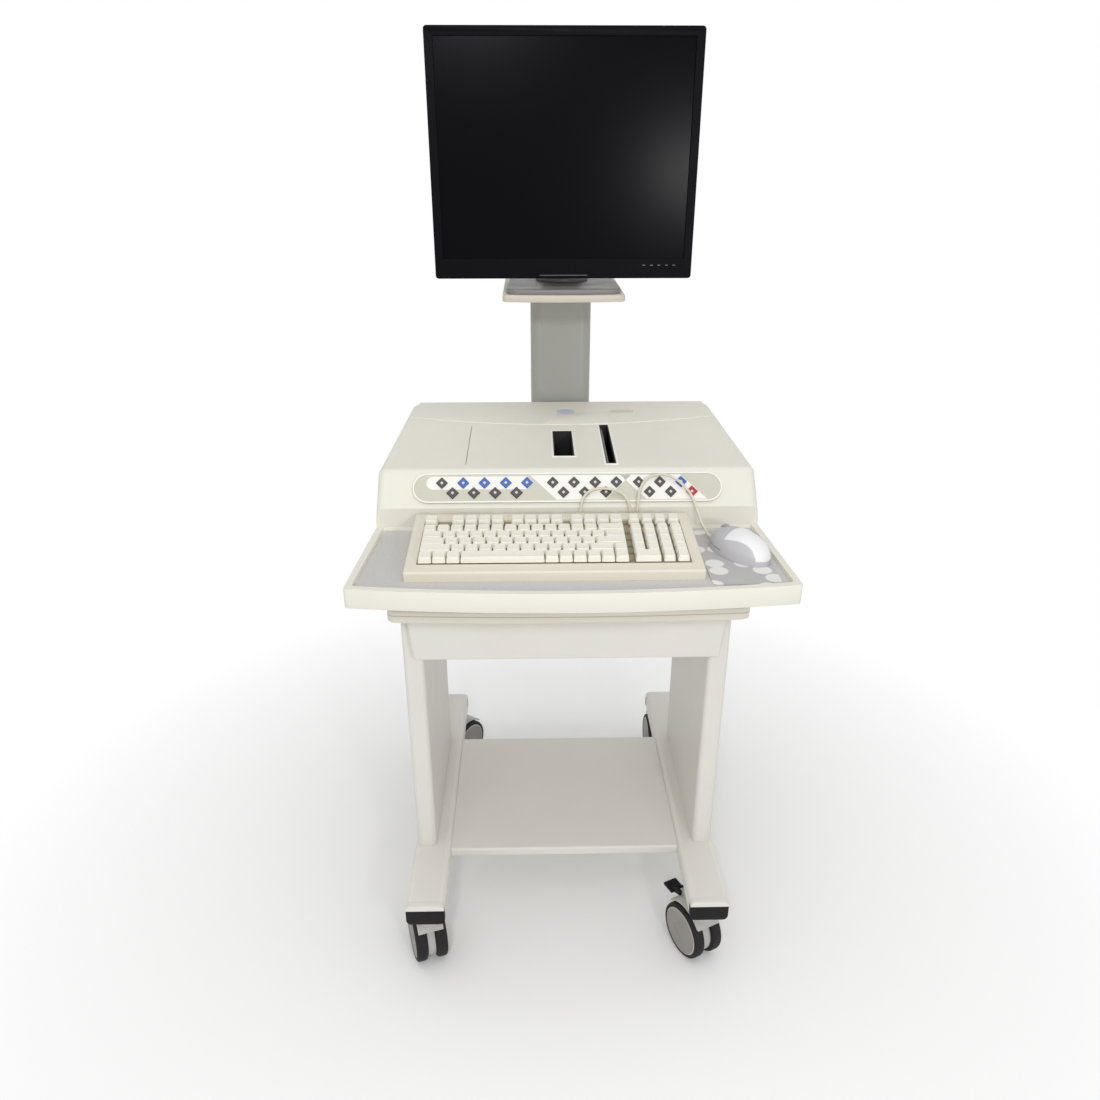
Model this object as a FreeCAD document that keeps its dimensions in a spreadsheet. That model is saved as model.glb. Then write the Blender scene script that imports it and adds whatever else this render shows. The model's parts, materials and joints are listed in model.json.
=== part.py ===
"""Stress-test ECG workstation: console with keyboard tray and monitor on a four-caster trolley.

Millimetres, +Z up, X to the right, Y to the back, origin on the floor under the middle of the trolley.
"""
import FreeCAD, Part
import math
import os
import re
import Sketcher
from FreeCAD import Placement, Rotation, Vector

SIZES = [
    ("upright_lead", 25, "rail's inner face from the upright's"),
    ("rail_width", 65, "foot rail width"),
    ("rail_height", 40, "foot rail height"),
    ("rail_half", 325, "half length of a foot rail with its caps"),
    ("rail_middle", 24.5, "middle of the foot rails in depth"),
    ("rail_wall", 3, "wall of the foot rail tube"),
    ("rail_round", 9, "corner radius of the foot rail tube"),
    ("cap_length", 12, "visible length of an end cap"),
    ("plug_length", 14, "length of an end cap's plug in the tube"),
    ("runner_room", 18, "drawer box to upright, for the runner"),
    ("upright_width", 34, "upright width"),
    ("upright_front", -153.5, "front face of the uprights"),
    ("upright_depth", 340, "upright depth"),
    ("upright_wall", 3, "upright sheet"),
    ("upright_round", 8, "upright edge radius"),
    ("shelf_drop", 9, "shelf below the rail's top"),
    ("shelf_fold", 16, "folded edge of the lower shelf"),
    ("shelf_sheet", 2, "lower shelf sheet"),
    ("board_lip", 4, "top board beyond the uprights"),
    ("board_front", -246.5, "front corners of the top board"),
    ("board_bow", 9, "bow of the board's front edge"),
    ("board_margin", 7, "top board behind the column"),
    ("board_top", 694, "top of the top board"),
    ("board_thick", 20, "top board thickness"),
    ("board_round", 3, "edge radius of the board"),
    ("board_corner", 14, "corner radius of the board in plan"),
    ("front_lap", 40, "drawer front beyond its box"),
    ("drawer_taper", 8, "how far the drawer front's ends lean in"),
    ("drawer_front_thick", 18, "drawer front thickness"),
    ("drawer_front_tall", 89, "drawer front height"),
    ("finger_gap", 19, "gap above the drawer front"),
    ("drawer_box_half", 214, "half width of the drawer box"),
    ("drawer_box_depth", 310, "drawer box depth"),
    ("drawer_box_tall", 64, "drawer box height"),
    ("box_below", 15, "drawer box below its front's edge"),
    ("drawer_sheet", 1.6, "drawer box sheet"),
    ("drawer_gap", 2, "gap between drawer front and uprights"),
    ("runner_plate", 3, "runner plate thickness"),
    ("flange_level", 34, "flange above the drawer's underside"),
    ("runner_tall", 36, "runner plate height"),
    ("runner_length", 320, "runner length"),
    ("flange_reach", 12, "drawer side flange width"),
    ("sliding_gap", 0.3, "running clearance"),
    ("console_rear", 199.5, "rear of the console"),
    ("console_rear_half", 266, "half width of the console at its rear"),
    ("console_front", -372.5, "front corners of the keyboard tray"),
    ("console_bow", 20, "bow of the tray's front edge"),
    ("console_corner", 28, "rear corner radius of the console in plan"),
    ("tray_corner", 5, "front corner radius of the tray in plan"),
    ("body_tall", 71, "height of the console's lower body"),
    ("lip_tall", 28, "height of the tray lip"),
    ("tray_deep", 8, "depth of the tray"),
    ("tray_lip", 10, "tray lip width"),
    ("mat_thick", 2, "tray mat thickness"),
    ("pad_gap", 6, "mouse pad from the keyboard"),
    ("pad_ahead", 18, "mouse pad in front of the keyboard"),
    ("pad_margin", 12, "mouse pad from the tray lip"),
    ("pad_back", 14, "mouse pad from the cover"),
    ("pad_round", 8, "mouse pad corner radius"),
    ("base_inset", 14, "lower body inside the console's sides"),
    ("base_ahead", 10, "lower body in front of the cover"),
    ("base_wall", 5, "console base wall"),
    ("rib_thick", 12, "tray rib thickness"),
    ("rib_place", 150, "tray ribs from the middle"),
    ("rib_drop", 48, "depth of the tray ribs at the body"),
    ("cover_gap", 11, "keyboard to cover"),
    ("front_wall", 29, "height of the cover's front wall"),
    ("slope_run", 36, "depth of the sloping key face"),
    ("slope_rise", 49, "height of the sloping key face"),
    ("top_rise", 20, "rise of the cover's top to its rear"),
    ("cover_wall", 3, "cover wall"),
    ("cover_round", 12, "edge radius of the cover"),
    ("deck_raise", 1.2, "raised rear deck"),
    ("deck_depth", 131, "rear deck at its middle"),
    ("deck_side_depth", 90, "rear deck at its sides"),
    ("panel_half", 232, "half length of the control panel"),
    ("panel_tall", 46, "control panel height"),
    ("panel_thick", 2.5, "control panel thickness"),
    ("panel_seat", 6, "control panel overlap on the cover"),
    ("panel_rim", 1.5, "raised rim of the control panel"),
    ("panel_rim_width", 2.5, "width of that rim"),
    ("key_pitch", 31.8, "pitch of the diamond keys"),
    ("key_row", 7.65, "key rows from the panel's middle"),
    ("key_round", 1.2, "top edge radius of a diamond key"),
    ("key_half", 9.2, "half diagonal of a diamond key"),
    ("key_proud", 2, "diamond keys above the panel"),
    ("key_travel", 1.2, "diamond key travel"),
    ("key_left", -188.1, "first key of the left group"),
    ("key_middle", -22.3, "first key of the middle group"),
    ("key_right", 106.7, "first key of the right group"),
    ("keypad_thick", 1.6, "keypad board thickness"),
    ("keypad_depth", 4.6, "keypad board below the key face"),
    ("post_radius", 2.5, "control panel post radius"),
    ("post_inset", 22, "end posts from the panel's ends"),
    ("dock_place", -3, "module dock from the middle"),
    ("dock_behind", 49, "module dock behind the key face"),
    ("dock_length", 115, "module dock length"),
    ("dock_width", 32, "module dock width"),
    ("dock_deep", 45, "module dock depth"),
    ("slot_place", 68, "paper slot from the middle"),
    ("slot_behind", 17, "paper slot behind the key face"),
    ("slot_length", 176, "paper slot length"),
    ("slot_width", 15.5, "paper slot width"),
    ("slot_deep", 55, "paper slot depth"),
    ("liner_wall", 2, "wall of the dock and slot liners"),
    ("frame_width", 3, "pale frame round dock and slot"),
    ("frame_raise", 1, "height of that frame"),
    ("groove_place", -154, "thin groove from the middle"),
    ("groove_behind", 18, "thin groove behind the key face"),
    ("groove_length", 171, "thin groove length"),
    ("groove_width", 1.2, "thin groove width"),
    ("badge_radius", 16, "bare round recess on the deck"),
    ("badge_place", 7, "bare round recess from the middle"),
    ("blank_place", 105, "oval recess from the middle"),
    ("blank_half", 21, "half length of the oval recess"),
    ("blank_tall", 19, "oval recess in depth"),
    ("recess_deep", 0.8, "depth of the bare recesses"),
    ("writer_width", 236, "chart writer width"),
    ("writer_depth", 226, "chart writer depth"),
    ("writer_tall", 92, "chart writer height"),
    ("supply_width", 116, "power supply width"),
    ("supply_depth", 170, "power supply depth"),
    ("supply_tall", 72, "power supply height"),
    ("mother_width", 130, "main board width"),
    ("mother_depth", 96, "main board depth"),
    ("mother_thick", 1.6, "main board thickness"),
    ("spacer_tall", 6, "main board spacers"),
    ("spacer_radius", 2.5, "main board spacer radius"),
    ("inlet_place", 180, "mains inlet from the middle"),
    ("inlet_width", 48, "mains inlet width"),
    ("inlet_tall", 28, "mains inlet height"),
    ("inlet_rise", 30, "mains inlet above the board"),
    ("keyboard_place", -24, "keyboard from the middle"),
    ("key_margin", 17.7, "keys to the keyboard's ends"),
    ("keyboard_inset", 31, "keyboard behind the tray's corners"),
    ("row_margin", 22.6, "keys to the keyboard's front and rear"),
    ("keyboard_low", 14, "keyboard front height"),
    ("keyboard_high", 31, "keyboard rear height"),
    ("keyboard_round", 3, "keyboard edge radius"),
    ("cap_pitch", 19.05, "keycap pitch"),
    ("cap_gap", 3.2, "gap between keycaps at their foot"),
    ("cap_tall", 9, "keycap height"),
    ("cap_taper", 2.6, "keycap taper each side"),
    ("cap_travel", 3.5, "keycap travel"),
    ("cap_sunk", 2.5, "keycaps' foot below the case top"),
    ("well_deep", 7, "keycap well depth"),
    ("stem_width", 5, "keycap stem"),
    ("mouse_clear", 23, "keyboard to mouse"),
    ("mouse_margin", 6.6, "mouse to tray lip"),
    ("mouse_behind", 81, "mouse behind the keyboard's front"),
    ("mouse_turn", 31, "mouse turned to the left"),
    ("mouse_length", 108, "mouse length"),
    ("mouse_width", 60, "mouse width"),
    ("mouse_tall", 36, "mouse height"),
    ("mouse_base_tall", 8, "mouse base height"),
    ("mouse_split", 8, "front of the palm shell from the mouse's middle"),
    ("mouse_gap", 0.6, "gap between the mouse's buttons"),
    ("mouse_wall", 2.5, "mouse shell thickness"),
    ("mouse_wheel_radius", 10, "mouse wheel radius"),
    ("mouse_wheel_width", 6, "mouse wheel width"),
    ("mouse_wheel_place", 30, "mouse wheel from the mouse's middle"),
    ("mouse_wheel_proud", 3, "mouse wheel above the buttons"),
    ("mouse_wheel_round", 1.5, "mouse wheel edge radius"),
    ("cheek_thick", 3, "wheel cheek thickness"),
    ("cheek_depth", 6, "wheel cheek depth"),
    ("cheek_gap", 0.4, "wheel cheeks from the wheel"),
    ("mouse_axle", 2.8, "mouse wheel axle diameter"),
    ("lever_gap", 1.5, "buttons above the mouse base"),
    ("cord_size", 4, "cord diameter"),
    ("bushing_size", 8, "cord bushing diameter"),
    ("bushing_tall", 5, "cord bushing above the mat"),
    ("drop_gap", 5.5, "cord holes from the cover"),
    ("keyboard_drop", 94, "keyboard cord hole from the middle"),
    ("mouse_drop", 103, "mouse cord hole from the middle"),
    ("relief_width", 12, "keyboard cord relief width"),
    ("relief_depth", 7, "keyboard cord relief depth"),
    ("relief_tall", 8, "keyboard cord relief height"),
    ("relief_gap", 0.4, "cord above its relief"),
    ("sleeve_length", 10, "mouse cord sleeve length"),
    ("sleeve_gap", 1.2, "cord from its sleeve"),
    ("sleeve_big", 3.4, "mouse cord sleeve radius at the mouse"),
    ("sleeve_small", 2.6, "mouse cord sleeve radius at the cord"),
    ("column_gap", 10, "console to column"),
    ("column_half", 53.5, "half width of the column"),
    ("column_depth", 60, "column depth"),
    ("column_tall", 391, "column height"),
    ("column_round", 18, "column edge radius"),
    ("column_wall", 4, "column wall"),
    ("platform_half", 98, "half width of the monitor platform"),
    ("platform_depth", 216, "platform depth at its corners"),
    ("platform_bow", 8, "bow of the platform's front"),
    ("platform_margin", 7, "platform behind the column"),
    ("platform_thick", 11, "platform thickness"),
    ("foot_half", 92, "half width of the monitor foot"),
    ("foot_setback", 4, "monitor foot behind the platform's front"),
    ("foot_depth", 168, "monitor foot depth"),
    ("foot_thick", 8, "monitor foot thickness"),
    ("foot_taper", 4, "how much narrower the foot is at its rear"),
    ("foot_corner", 20, "foot corner radius in plan"),
    ("foot_round", 3, "top edge radius of the foot"),
    ("swivel_inset", 51, "swivel axis from the foot's rear"),
    ("turntable_radius", 44, "turntable radius"),
    ("turntable_thick", 6, "turntable thickness"),
    ("neck_half", 34, "half width of the neck"),
    ("neck_thick", 14, "neck thickness"),
    ("hinge_throat", 19, "tilt axis in front of the neck"),
    ("hinge_rise", 123, "tilt axis above the monitor's lower edge"),
    ("hinge_pin", 10, "tilt pin diameter"),
    ("hinge_block", 24, "neck's hinge block width"),
    ("ear_width", 15, "hinge ear width"),
    ("ear_half", 11, "hinge ear half height"),
    ("ear_behind", 9, "hinge ear behind the tilt axis"),
    ("monitor_width", 408, "monitor width"),
    ("monitor_tall", 347, "monitor height"),
    ("monitor_gap", 13, "monitor above its foot"),
    ("hinge_gap", 16, "tilt axis behind the back shell"),
    ("bezel_thick", 14, "bezel depth"),
    ("bezel_side", 13, "bezel side width"),
    ("bezel_chin", 30, "bezel chin height"),
    ("bezel_lip", 3, "bezel lip in front of the screen"),
    ("bezel_round", 5, "bezel corner radius"),
    ("screen_overlap", 4, "screen behind the bezel lip"),
    ("screen_thick", 9, "screen module thickness"),
    ("back_depth", 44, "depth of the back shell"),
    ("back_shrink", 54, "how far the back shell draws in"),
    ("back_wall", 3, "back shell wall"),
    ("vent_count", 9, "vent slots in the back shell"),
    ("vent_width", 5, "vent slot width"),
    ("vent_pitch", 18, "vent slot pitch"),
    ("vent_tall", 34, "vent slot length"),
    ("vent_margin", 20, "vents from the top of the rear face"),
    ("wheel_radius", 50, "caster wheel radius"),
    ("wheel_width", 20, "caster wheel width"),
    ("wheel_apart", 16, "gap between twin wheels"),
    ("hub_radius", 12, "caster wheel hub"),
    ("tread_depth", 8, "tread round the wheel disc"),
    ("disc_sunk", 2, "how far the wheel disc is sunk"),
    ("tread_round", 4, "shoulder of the wheel tread"),
    ("axle_size", 10, "caster axle diameter"),
    ("caster_end", 35, "caster stem from the end of the rail"),
    ("caster_trail", 27, "caster trail"),
    ("stem_size", 14, "caster stem diameter"),
    ("stem_reach", 22, "caster stem above the rail's underside"),
    ("boss_size", 38, "caster swivel boss diameter"),
    ("boss_tall", 19, "caster swivel boss height"),
    ("web_thick", 12, "caster web thickness"),
    ("fairing_inset", 7, "fairing inside the tread"),
    ("fairing_gap", 1.5, "fairing to wheel"),
    ("lug_thick", 8, "pedal lug thickness"),
    ("fender_gap", 2.5, "fender clearance round the wheels"),
    ("fender_thick", 3.5, "fender thickness"),
    ("fender_half", 22, "half width of the fender"),
    ("fender_rise", 36, "fender's edge above the axle"),
    ("pedal_inset", 11, "pedal pivot inside the wheel's end"),
    ("pedal_sink", 6, "pedal pivot below the fender's top"),
    ("pedal_pin", 6, "pedal pin diameter"),
    ("pedal_half", 13, "half width of the brake pedal"),
    ("pedal_lead", 14, "pedal plate from its pivot"),
    ("pedal_length", 25, "pedal plate length"),
    ("pedal_thick", 6, "pedal plate thickness"),
    ("pedal_drop", 8, "pedal plate below its pivot"),
    ("pedal_cheek", 4, "pedal cheek thickness"),
    ("pedal_boss", 5, "pedal cheek round its pin"),
    ("turn_front_left", 18, "rest turn of the front left caster"),
    ("turn_front_right", 26, "rest turn of the front right caster"),
    ("turn_rear_left", -35, "rest turn of the rear left caster"),
    ("turn_rear_right", 2.5, "rest turn of the rear right caster"),
]

# Sizes that follow from others, so that pieces stay together when one of those changes
FOLLOWING = [
    ("rail_inner", "upright_inner - upright_lead", "half gap between the foot rails"),
    ("rail_top", "2 * wheel_radius + fender_gap + fender_thick + boss_tall + rail_height",
     "top of the foot rails above the floor"),
    ("upright_inner", "drawer_box_half + runner_room", "half gap between the uprights"),
    ("shelf_top", "rail_top - shelf_drop", "top of the lower shelf"),
    ("board_half", "upright_inner + upright_width + board_lip", "half width of the top board"),
    ("board_rear", "column_front + column_depth + board_margin", "rear edge of the top board"),
    ("drawer_half", "drawer_box_half + front_lap", "half width of the drawer front at its top"),
    ("drawer_front_low", "drawer_front_high - drawer_front_tall", "lower edge of the drawer front"),
    ("drawer_front_high", "board_top - board_thick - finger_gap", "upper edge of the drawer front"),
    ("drawer_box_low", "drawer_box_high - drawer_box_tall", "underside of the drawer box"),
    ("drawer_box_high", "drawer_front_high - box_below", "rim of the drawer box"),
    ("runner_level", "drawer_box_low + flange_level", "underside of the drawer's side flange"),
    ("console_front_half",
     "console_rear_half + (mouse_place + mouse_reach + mouse_margin + tray_lip "
     "- console_rear_half) * (console_rear - console_front) / (console_rear - mouse_depth_place)",
     "half width of the tray at its front"),
    ("tray_low", "board_top + body_tall", "underside of the tray lip"),
    ("tray_high", "tray_low + lip_tall", "top of the tray lip"),
    ("tray_floor", "tray_high - tray_deep", "tray floor"),
    ("base_half", "console_rear_half - base_inset", "half width of the console's lower body"),
    ("base_front", "hump_front - base_ahead", "front of the console's lower body"),
    ("hump_front", "keyboard_front + keyboard_depth + cover_gap", "front wall of the cover"),
    ("slope_low", "tray_high + front_wall", "lower edge of the sloping key face"),
    ("slope_back", "hump_front + slope_run", "upper edge of the sloping key face, in depth"),
    ("slope_high", "slope_low + slope_rise", "upper edge of the sloping key face"),
    ("cover_rear_high", "slope_high + top_rise", "rear edge of the cover"),
    ("deck_front", "console_rear - deck_depth", "front of the rear deck at its middle"),
    ("deck_side", "console_rear - deck_side_depth", "front of the rear deck at its sides"),
    ("dock_front", "slope_back + dock_behind", "front of the module dock"),
    ("slot_front", "slope_back + slot_behind", "front of the paper slot"),
    ("groove_front", "slope_back + groove_behind", "front of the thin groove"),
    ("inlet_level", "board_top + inlet_rise", "mains inlet centre"),
    ("keyboard_width", "19.35 * cap_pitch + 2 * key_margin", "keyboard width"),
    ("keyboard_front", "console_front + keyboard_inset", "front of the keyboard"),
    ("keyboard_depth", "6.5 * cap_pitch + 2 * row_margin", "keyboard depth"),
    ("mouse_place", "keyboard_place + keyboard_width / 2 + mouse_clear + mouse_reach",
     "mouse from the middle"),
    ("mouse_depth_place", "keyboard_front + mouse_behind", "mouse centre in depth"),
    ("mouse_reach",
     "sqrt((mouse_width / 2 * cos(mouse_turn)) ^ 2 + (mouse_length / 2 * sin(mouse_turn)) ^ 2)",
     "half width of the turned mouse"),
    ("column_front", "console_rear + column_gap", "front of the column"),
    ("column_top", "board_top + column_tall", "top of the column"),
    ("platform_front", "platform_rear - platform_depth", "front corners of the platform"),
    ("platform_rear", "column_front + column_depth + platform_margin", "rear of the platform"),
    ("foot_front", "platform_front + foot_setback", "front of the monitor foot"),
    ("foot_rear", "foot_front + foot_depth", "rear of the monitor foot"),
    ("swivel_depth", "foot_rear - swivel_inset", "monitor swivel axis in depth"),
    ("hinge_depth", "swivel_depth - hinge_throat", "tilt axis in depth"),
    ("hinge_level", "monitor_low + hinge_rise", "tilt axis height"),
    ("monitor_low", "column_top + platform_thick + foot_thick + monitor_gap", "lower edge of the monitor"),
    ("monitor_front", "hinge_depth - hinge_gap - back_depth - bezel_thick", "front of the monitor"),
    ("disc_radius", "wheel_radius - tread_depth", "caster wheel disc"),
    ("fairing_radius", "wheel_radius - fairing_inset", "round fairing between the wheels"),
    ("fairing_thick", "wheel_apart - 2 * fairing_gap", "fairing thickness"),
    ("fender_level", "wheel_radius + fender_rise", "lower edge of the fender"),
    ("pedal_pivot", "caster_trail + wheel_radius - pedal_inset", "pedal pivot from the stem"),
    ("pedal_level", "2 * wheel_radius + fender_gap + fender_thick - pedal_sink", "pedal pivot height"),
    ("pedal_start", "pedal_pivot + pedal_lead", "start of the pedal plate"),
    ("pedal_end", "pedal_start + pedal_length", "end of the pedal plate"),
]

doc = FreeCAD.newDocument("ecg_workstation")
sheet = doc.addObject("Spreadsheet::Sheet", "sizes")
rows = [(alias, str(value), note) for alias, value, note in SIZES]
rows += [(alias, "=" + text, note) for alias, text, note in FOLLOWING]
for row, (alias, content, note) in enumerate(rows, start=1):
    sheet.set(f"A{row}", note)
    sheet.setAlias(f"B{row}", alias)
for row, (alias, content, note) in enumerate(rows, start=1):
    sheet.set(f"B{row}", content)
doc.recompute()

ALIASES = {alias for alias, content, note in rows}
WORD = re.compile(r"[a-z][a-z_]*")
parts = []


def size(alias):
    return float(sheet.get(alias))


def formula(text):
    """The same text with each named size looked up in the sheet."""
    def named(found):
        return "sizes." + found.group() if found.group() in ALIASES else found.group()
    return WORD.sub(named, text)


def value_of(text):
    """The number that a formula of named sizes gives."""
    probe = sheet.evalExpression(formula(text))
    return float(probe)


def bind(item, **properties):
    for name, text in properties.items():
        item.setExpression(name, formula(text))


def bind_base(item, corner):
    for axis, text in zip("xyz", corner):
        item.setExpression("Placement.Base." + axis, formula(text))


def keep(item, label):
    """Register a finished sub-part under the name of its node."""
    item.Label = label
    parts.append(item)
    return item


def keep_shape(label, shape, place=None):
    item = doc.addObject("Part::Feature", label)
    item.Shape = shape
    if place is not None:
        item.Placement = place
    return keep(item, label)


def box(name, corner, extent):
    item = doc.addObject("Part::Box", name)
    bind(item, Length=extent[0], Width=extent[1], Height=extent[2])
    bind_base(item, corner)
    return item


TURNS = {"x": Rotation(Vector(0, 1, 0), 90), "y": Rotation(Vector(1, 0, 0), -90), "z": Rotation()}


def rod(name, base, radius, length, along="z"):
    item = doc.addObject("Part::Cylinder", name)
    bind(item, Radius=radius, Height=length)
    item.Placement = Placement(Vector(), TURNS[along])
    bind_base(item, base)
    return item


def fuse(name, pieces):
    item = doc.addObject("Part::MultiFuse", name)
    item.Shapes = pieces
    item.Refine = True
    return item


def cut(name, base, tools):
    item = doc.addObject("Part::Cut", name)
    item.Base = base
    item.Tool = tools[0] if len(tools) == 1 else fuse(name + "_tools", tools)
    item.Refine = True
    return item


def rounded(name, base, radius, chosen):
    """Round the edges that a test on their two ends picks."""
    doc.recompute()
    edges = []
    for number, edge in enumerate(base.Shape.Edges, start=1):
        if len(edge.Vertexes) == 2 and chosen(edge.Vertexes[0].Point, edge.Vertexes[1].Point):
            edges.append((number, radius, radius))
    item = doc.addObject("Part::Fillet", name)
    item.Base = base
    item.Edges = edges
    return item


def along(axis):
    """A test for straight edges that run along one axis."""
    others = [index for index in range(3) if index != "xyz".index(axis)]
    return lambda start, end: all(abs(start[index] - end[index]) < 1e-6 for index in others)


def rectangle_body(name, role, corner, extent, pad_start, pad_length, radius):
    """A rectangular tube section: sketched outline, padded and rounded along its length."""
    body = doc.addObject("PartDesign::Body", name)
    sketch = body.newObject("Sketcher::SketchObject", name + "_sketch")
    plane = [item for item in body.Origin.OriginFeatures if item.Role == role][0]
    sketch.AttachmentSupport = [(plane, "")]
    sketch.MapMode = "FlatFace"
    left, low = value_of(corner[0]), value_of(corner[1])
    right, high = left + value_of(extent[0]), low + value_of(extent[1])
    points = [Vector(left, low), Vector(right, low), Vector(right, high), Vector(left, high)]
    for index in range(4):
        sketch.addGeometry(Part.LineSegment(points[index], points[(index + 1) % 4]), False)
    for index in range(4):
        sketch.addConstraint(Sketcher.Constraint("Coincident", index, 2, (index + 1) % 4, 1))
    for index, kind in enumerate(("Horizontal", "Vertical", "Horizontal", "Vertical")):
        sketch.addConstraint(Sketcher.Constraint(kind, index))
    for kind, ends, text in (("DistanceX", (-1, 1, 0, 1), corner[0]), ("DistanceY", (-1, 1, 0, 1), corner[1]),
                             ("DistanceX", (0, 1, 0, 2), extent[0]), ("DistanceY", (1, 1, 1, 2), extent[1])):
        number = sketch.addConstraint(Sketcher.Constraint(kind, *ends, value_of(text)))
        sketch.setExpression(f"Constraints[{number}]", formula(text))
    pad = body.newObject("PartDesign::Pad", name + "_pad")
    pad.Profile = sketch
    bind(pad, Length=pad_length)
    sketch.setExpression("AttachmentOffset.Base.z", formula(pad_start))
    doc.recompute()
    if radius:
        line = "y" if role == "XZ_Plane" else "z"
        names = [f"Edge{number}" for number, edge in enumerate(pad.Shape.Edges, start=1)
                 if along(line)(edge.Vertexes[0].Point, edge.Vertexes[1].Point)]
        fillet = body.newObject("PartDesign::Fillet", name + "_fillet")
        fillet.Base = (pad, names)
        bind(fillet, Radius=radius)
    return body


def polygon(points):
    return Part.Face(Part.makePolygon(points + [points[0]]))


def prism_x(points, half):
    """A side profile of (y, z) points, run from -half to half across the part."""
    return polygon([Vector(-half, y, z) for y, z in points]).extrude(Vector(2 * half, 0, 0))


def fillet_where(shape, radius, chosen):
    edges = [edge for edge in shape.Edges if chosen(edge)]
    return shape.makeFillet(radius, edges)


def stadium(half_length, tall, low, high):
    """A plate with half-round ends, centred, lying in XY between two levels."""
    radius = tall / 2
    straight = half_length - radius
    corners = [Vector(-straight, -radius, low), Vector(straight, -radius, low),
               Vector(straight, radius, low), Vector(-straight, radius, low)]
    lines = [Part.makeLine(corners[0], corners[1]),
             Part.Arc(corners[1], Vector(half_length, 0, low), corners[2]).toShape(),
             Part.makeLine(corners[2], corners[3]),
             Part.Arc(corners[3], Vector(-half_length, 0, low), corners[0]).toShape()]
    return Part.Face(Part.Wire(lines)).extrude(Vector(0, 0, high - low))


def bowed_plate(half_rear, half_front, rear, front, bow, low, high):
    """A plate whose sides flare to the front and whose front edge bows forward."""
    corners = [Vector(-half_rear, rear, low), Vector(-half_front, front, low),
               Vector(half_front, front, low), Vector(half_rear, rear, low)]
    edges = [Part.makeLine(corners[0], corners[1]),
             Part.Arc(corners[1], Vector(0, front - bow, low), corners[2]).toShape(),
             Part.makeLine(corners[2], corners[3]),
             Part.makeLine(corners[3], corners[0])]
    return Part.Face(Part.Wire(edges)).extrude(Vector(0, 0, high - low))


def upright_edge(edge):
    ends = [vertex.Point for vertex in edge.Vertexes]
    return len(ends) == 2 and abs(ends[0].x - ends[1].x) < 1e-6 and abs(ends[0].y - ends[1].y) < 1e-6


def level_edge(edge, level):
    return all(abs(vertex.Point.z - level) < 1e-6 for vertex in edge.Vertexes)


# Trolley: foot rails with their end caps
caster_depth = "(rail_half - caster_end)"
rail_axis = "(rail_inner + rail_width / 2)"
for side, sign in (("left", -1), ("right", 1)):
    start = "rail_inner" if sign > 0 else "-rail_inner - rail_width"
    outer = rectangle_body(side + "_rail_outer", "XZ_Plane", (start, "rail_top - rail_height"),
                           ("rail_width", "rail_height"), "-rail_middle - rail_half + cap_length",
                           "2 * (rail_half - cap_length)", "rail_round")
    bore = rectangle_body(side + "_rail_bore", "XZ_Plane",
                          (start + " + rail_wall", "rail_top - rail_height + rail_wall"),
                          ("rail_width - 2 * rail_wall", "rail_height - 2 * rail_wall"),
                          "-rail_middle - rail_half", "2 * rail_half", "rail_round - rail_wall")
    holes = []
    for end, place in (("front", -1), ("rear", 1)):
        base = (f"{sign} * {rail_axis}", f"rail_middle + {place} * {caster_depth}",
                "rail_top - rail_height - rail_wall")
        holes.append(rod(f"{side}_stem_hole_{end}", base, "stem_size / 2 + sliding_gap", "3 * rail_wall"))
    keep(cut(side + "_rail_cut", outer, [bore] + holes), side + "_foot_rail")

caps = []
for side in (-1, 1):
    for end in (-1, 1):
        name = f"cap_{side + 2}_{end + 2}"
        across = f"{side} * {rail_axis}"
        face = "rail_middle - rail_half" if end < 0 else "rail_middle + rail_half - cap_length"
        plug = ("rail_middle - rail_half + cap_length" if end < 0
                else "rail_middle + rail_half - cap_length - plug_length")
        head = box(name + "_head", (across + " - rail_width / 2", face, "rail_top - rail_height"),
                   ("rail_width", "cap_length", "rail_height"))
        head = rounded(name + "_round", head, size("rail_round"), along("y"))
        spigot = box(name + "_plug", (across + " - rail_width / 2 + rail_round",
                                      plug, "rail_top - rail_height + rail_wall"),
                     ("rail_width - 2 * rail_round", "plug_length", "rail_height - 2 * rail_wall"))
        caps.append(fuse(name, [head, spigot]))
compound = doc.addObject("Part::Compound", "end_caps")
compound.Links = caps
keep(compound, "foot_end_caps")

# Uprights, shelf and top board
for side, start in (("left", "-upright_inner - upright_width"), ("right", "upright_inner")):
    outer = rectangle_body(side + "_upright_outer", "XY_Plane", (start, "upright_front"),
                           ("upright_width", "upright_depth"), "rail_top",
                           "board_top - board_thick - rail_top", "upright_round")
    bore = rectangle_body(side + "_upright_bore", "XY_Plane",
                          (start + " + upright_wall", "upright_front + upright_wall"),
                          ("upright_width - 2 * upright_wall", "upright_depth - 2 * upright_wall"),
                          "rail_top + upright_wall",
                          "board_top - board_thick - rail_top - 2 * upright_wall",
                          "upright_round - upright_wall")
    keep(cut(side + "_upright_cut", outer, [bore]), side + "_upright")

shelf = box("shelf_outer", ("-rail_inner", "upright_front", "shelf_top - shelf_fold"),
            ("2 * rail_inner", "upright_depth", "shelf_fold"))
shelf = rounded("shelf_round", shelf, 2 * size("shelf_sheet"),
                lambda start, end: abs(start.y - end.y) < 1e-6 and start.z > size("shelf_top") - 1e-3
                and end.z > size("shelf_top") - 1e-3)
hollow = box("shelf_hollow", ("-rail_inner + shelf_sheet", "upright_front + shelf_sheet",
                              "shelf_top - shelf_fold - shelf_sheet"),
             ("2 * (rail_inner - shelf_sheet)", "upright_depth - 2 * shelf_sheet", "shelf_fold"))
keep(cut("shelf_cut", shelf, [hollow]), "lower_shelf")

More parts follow.
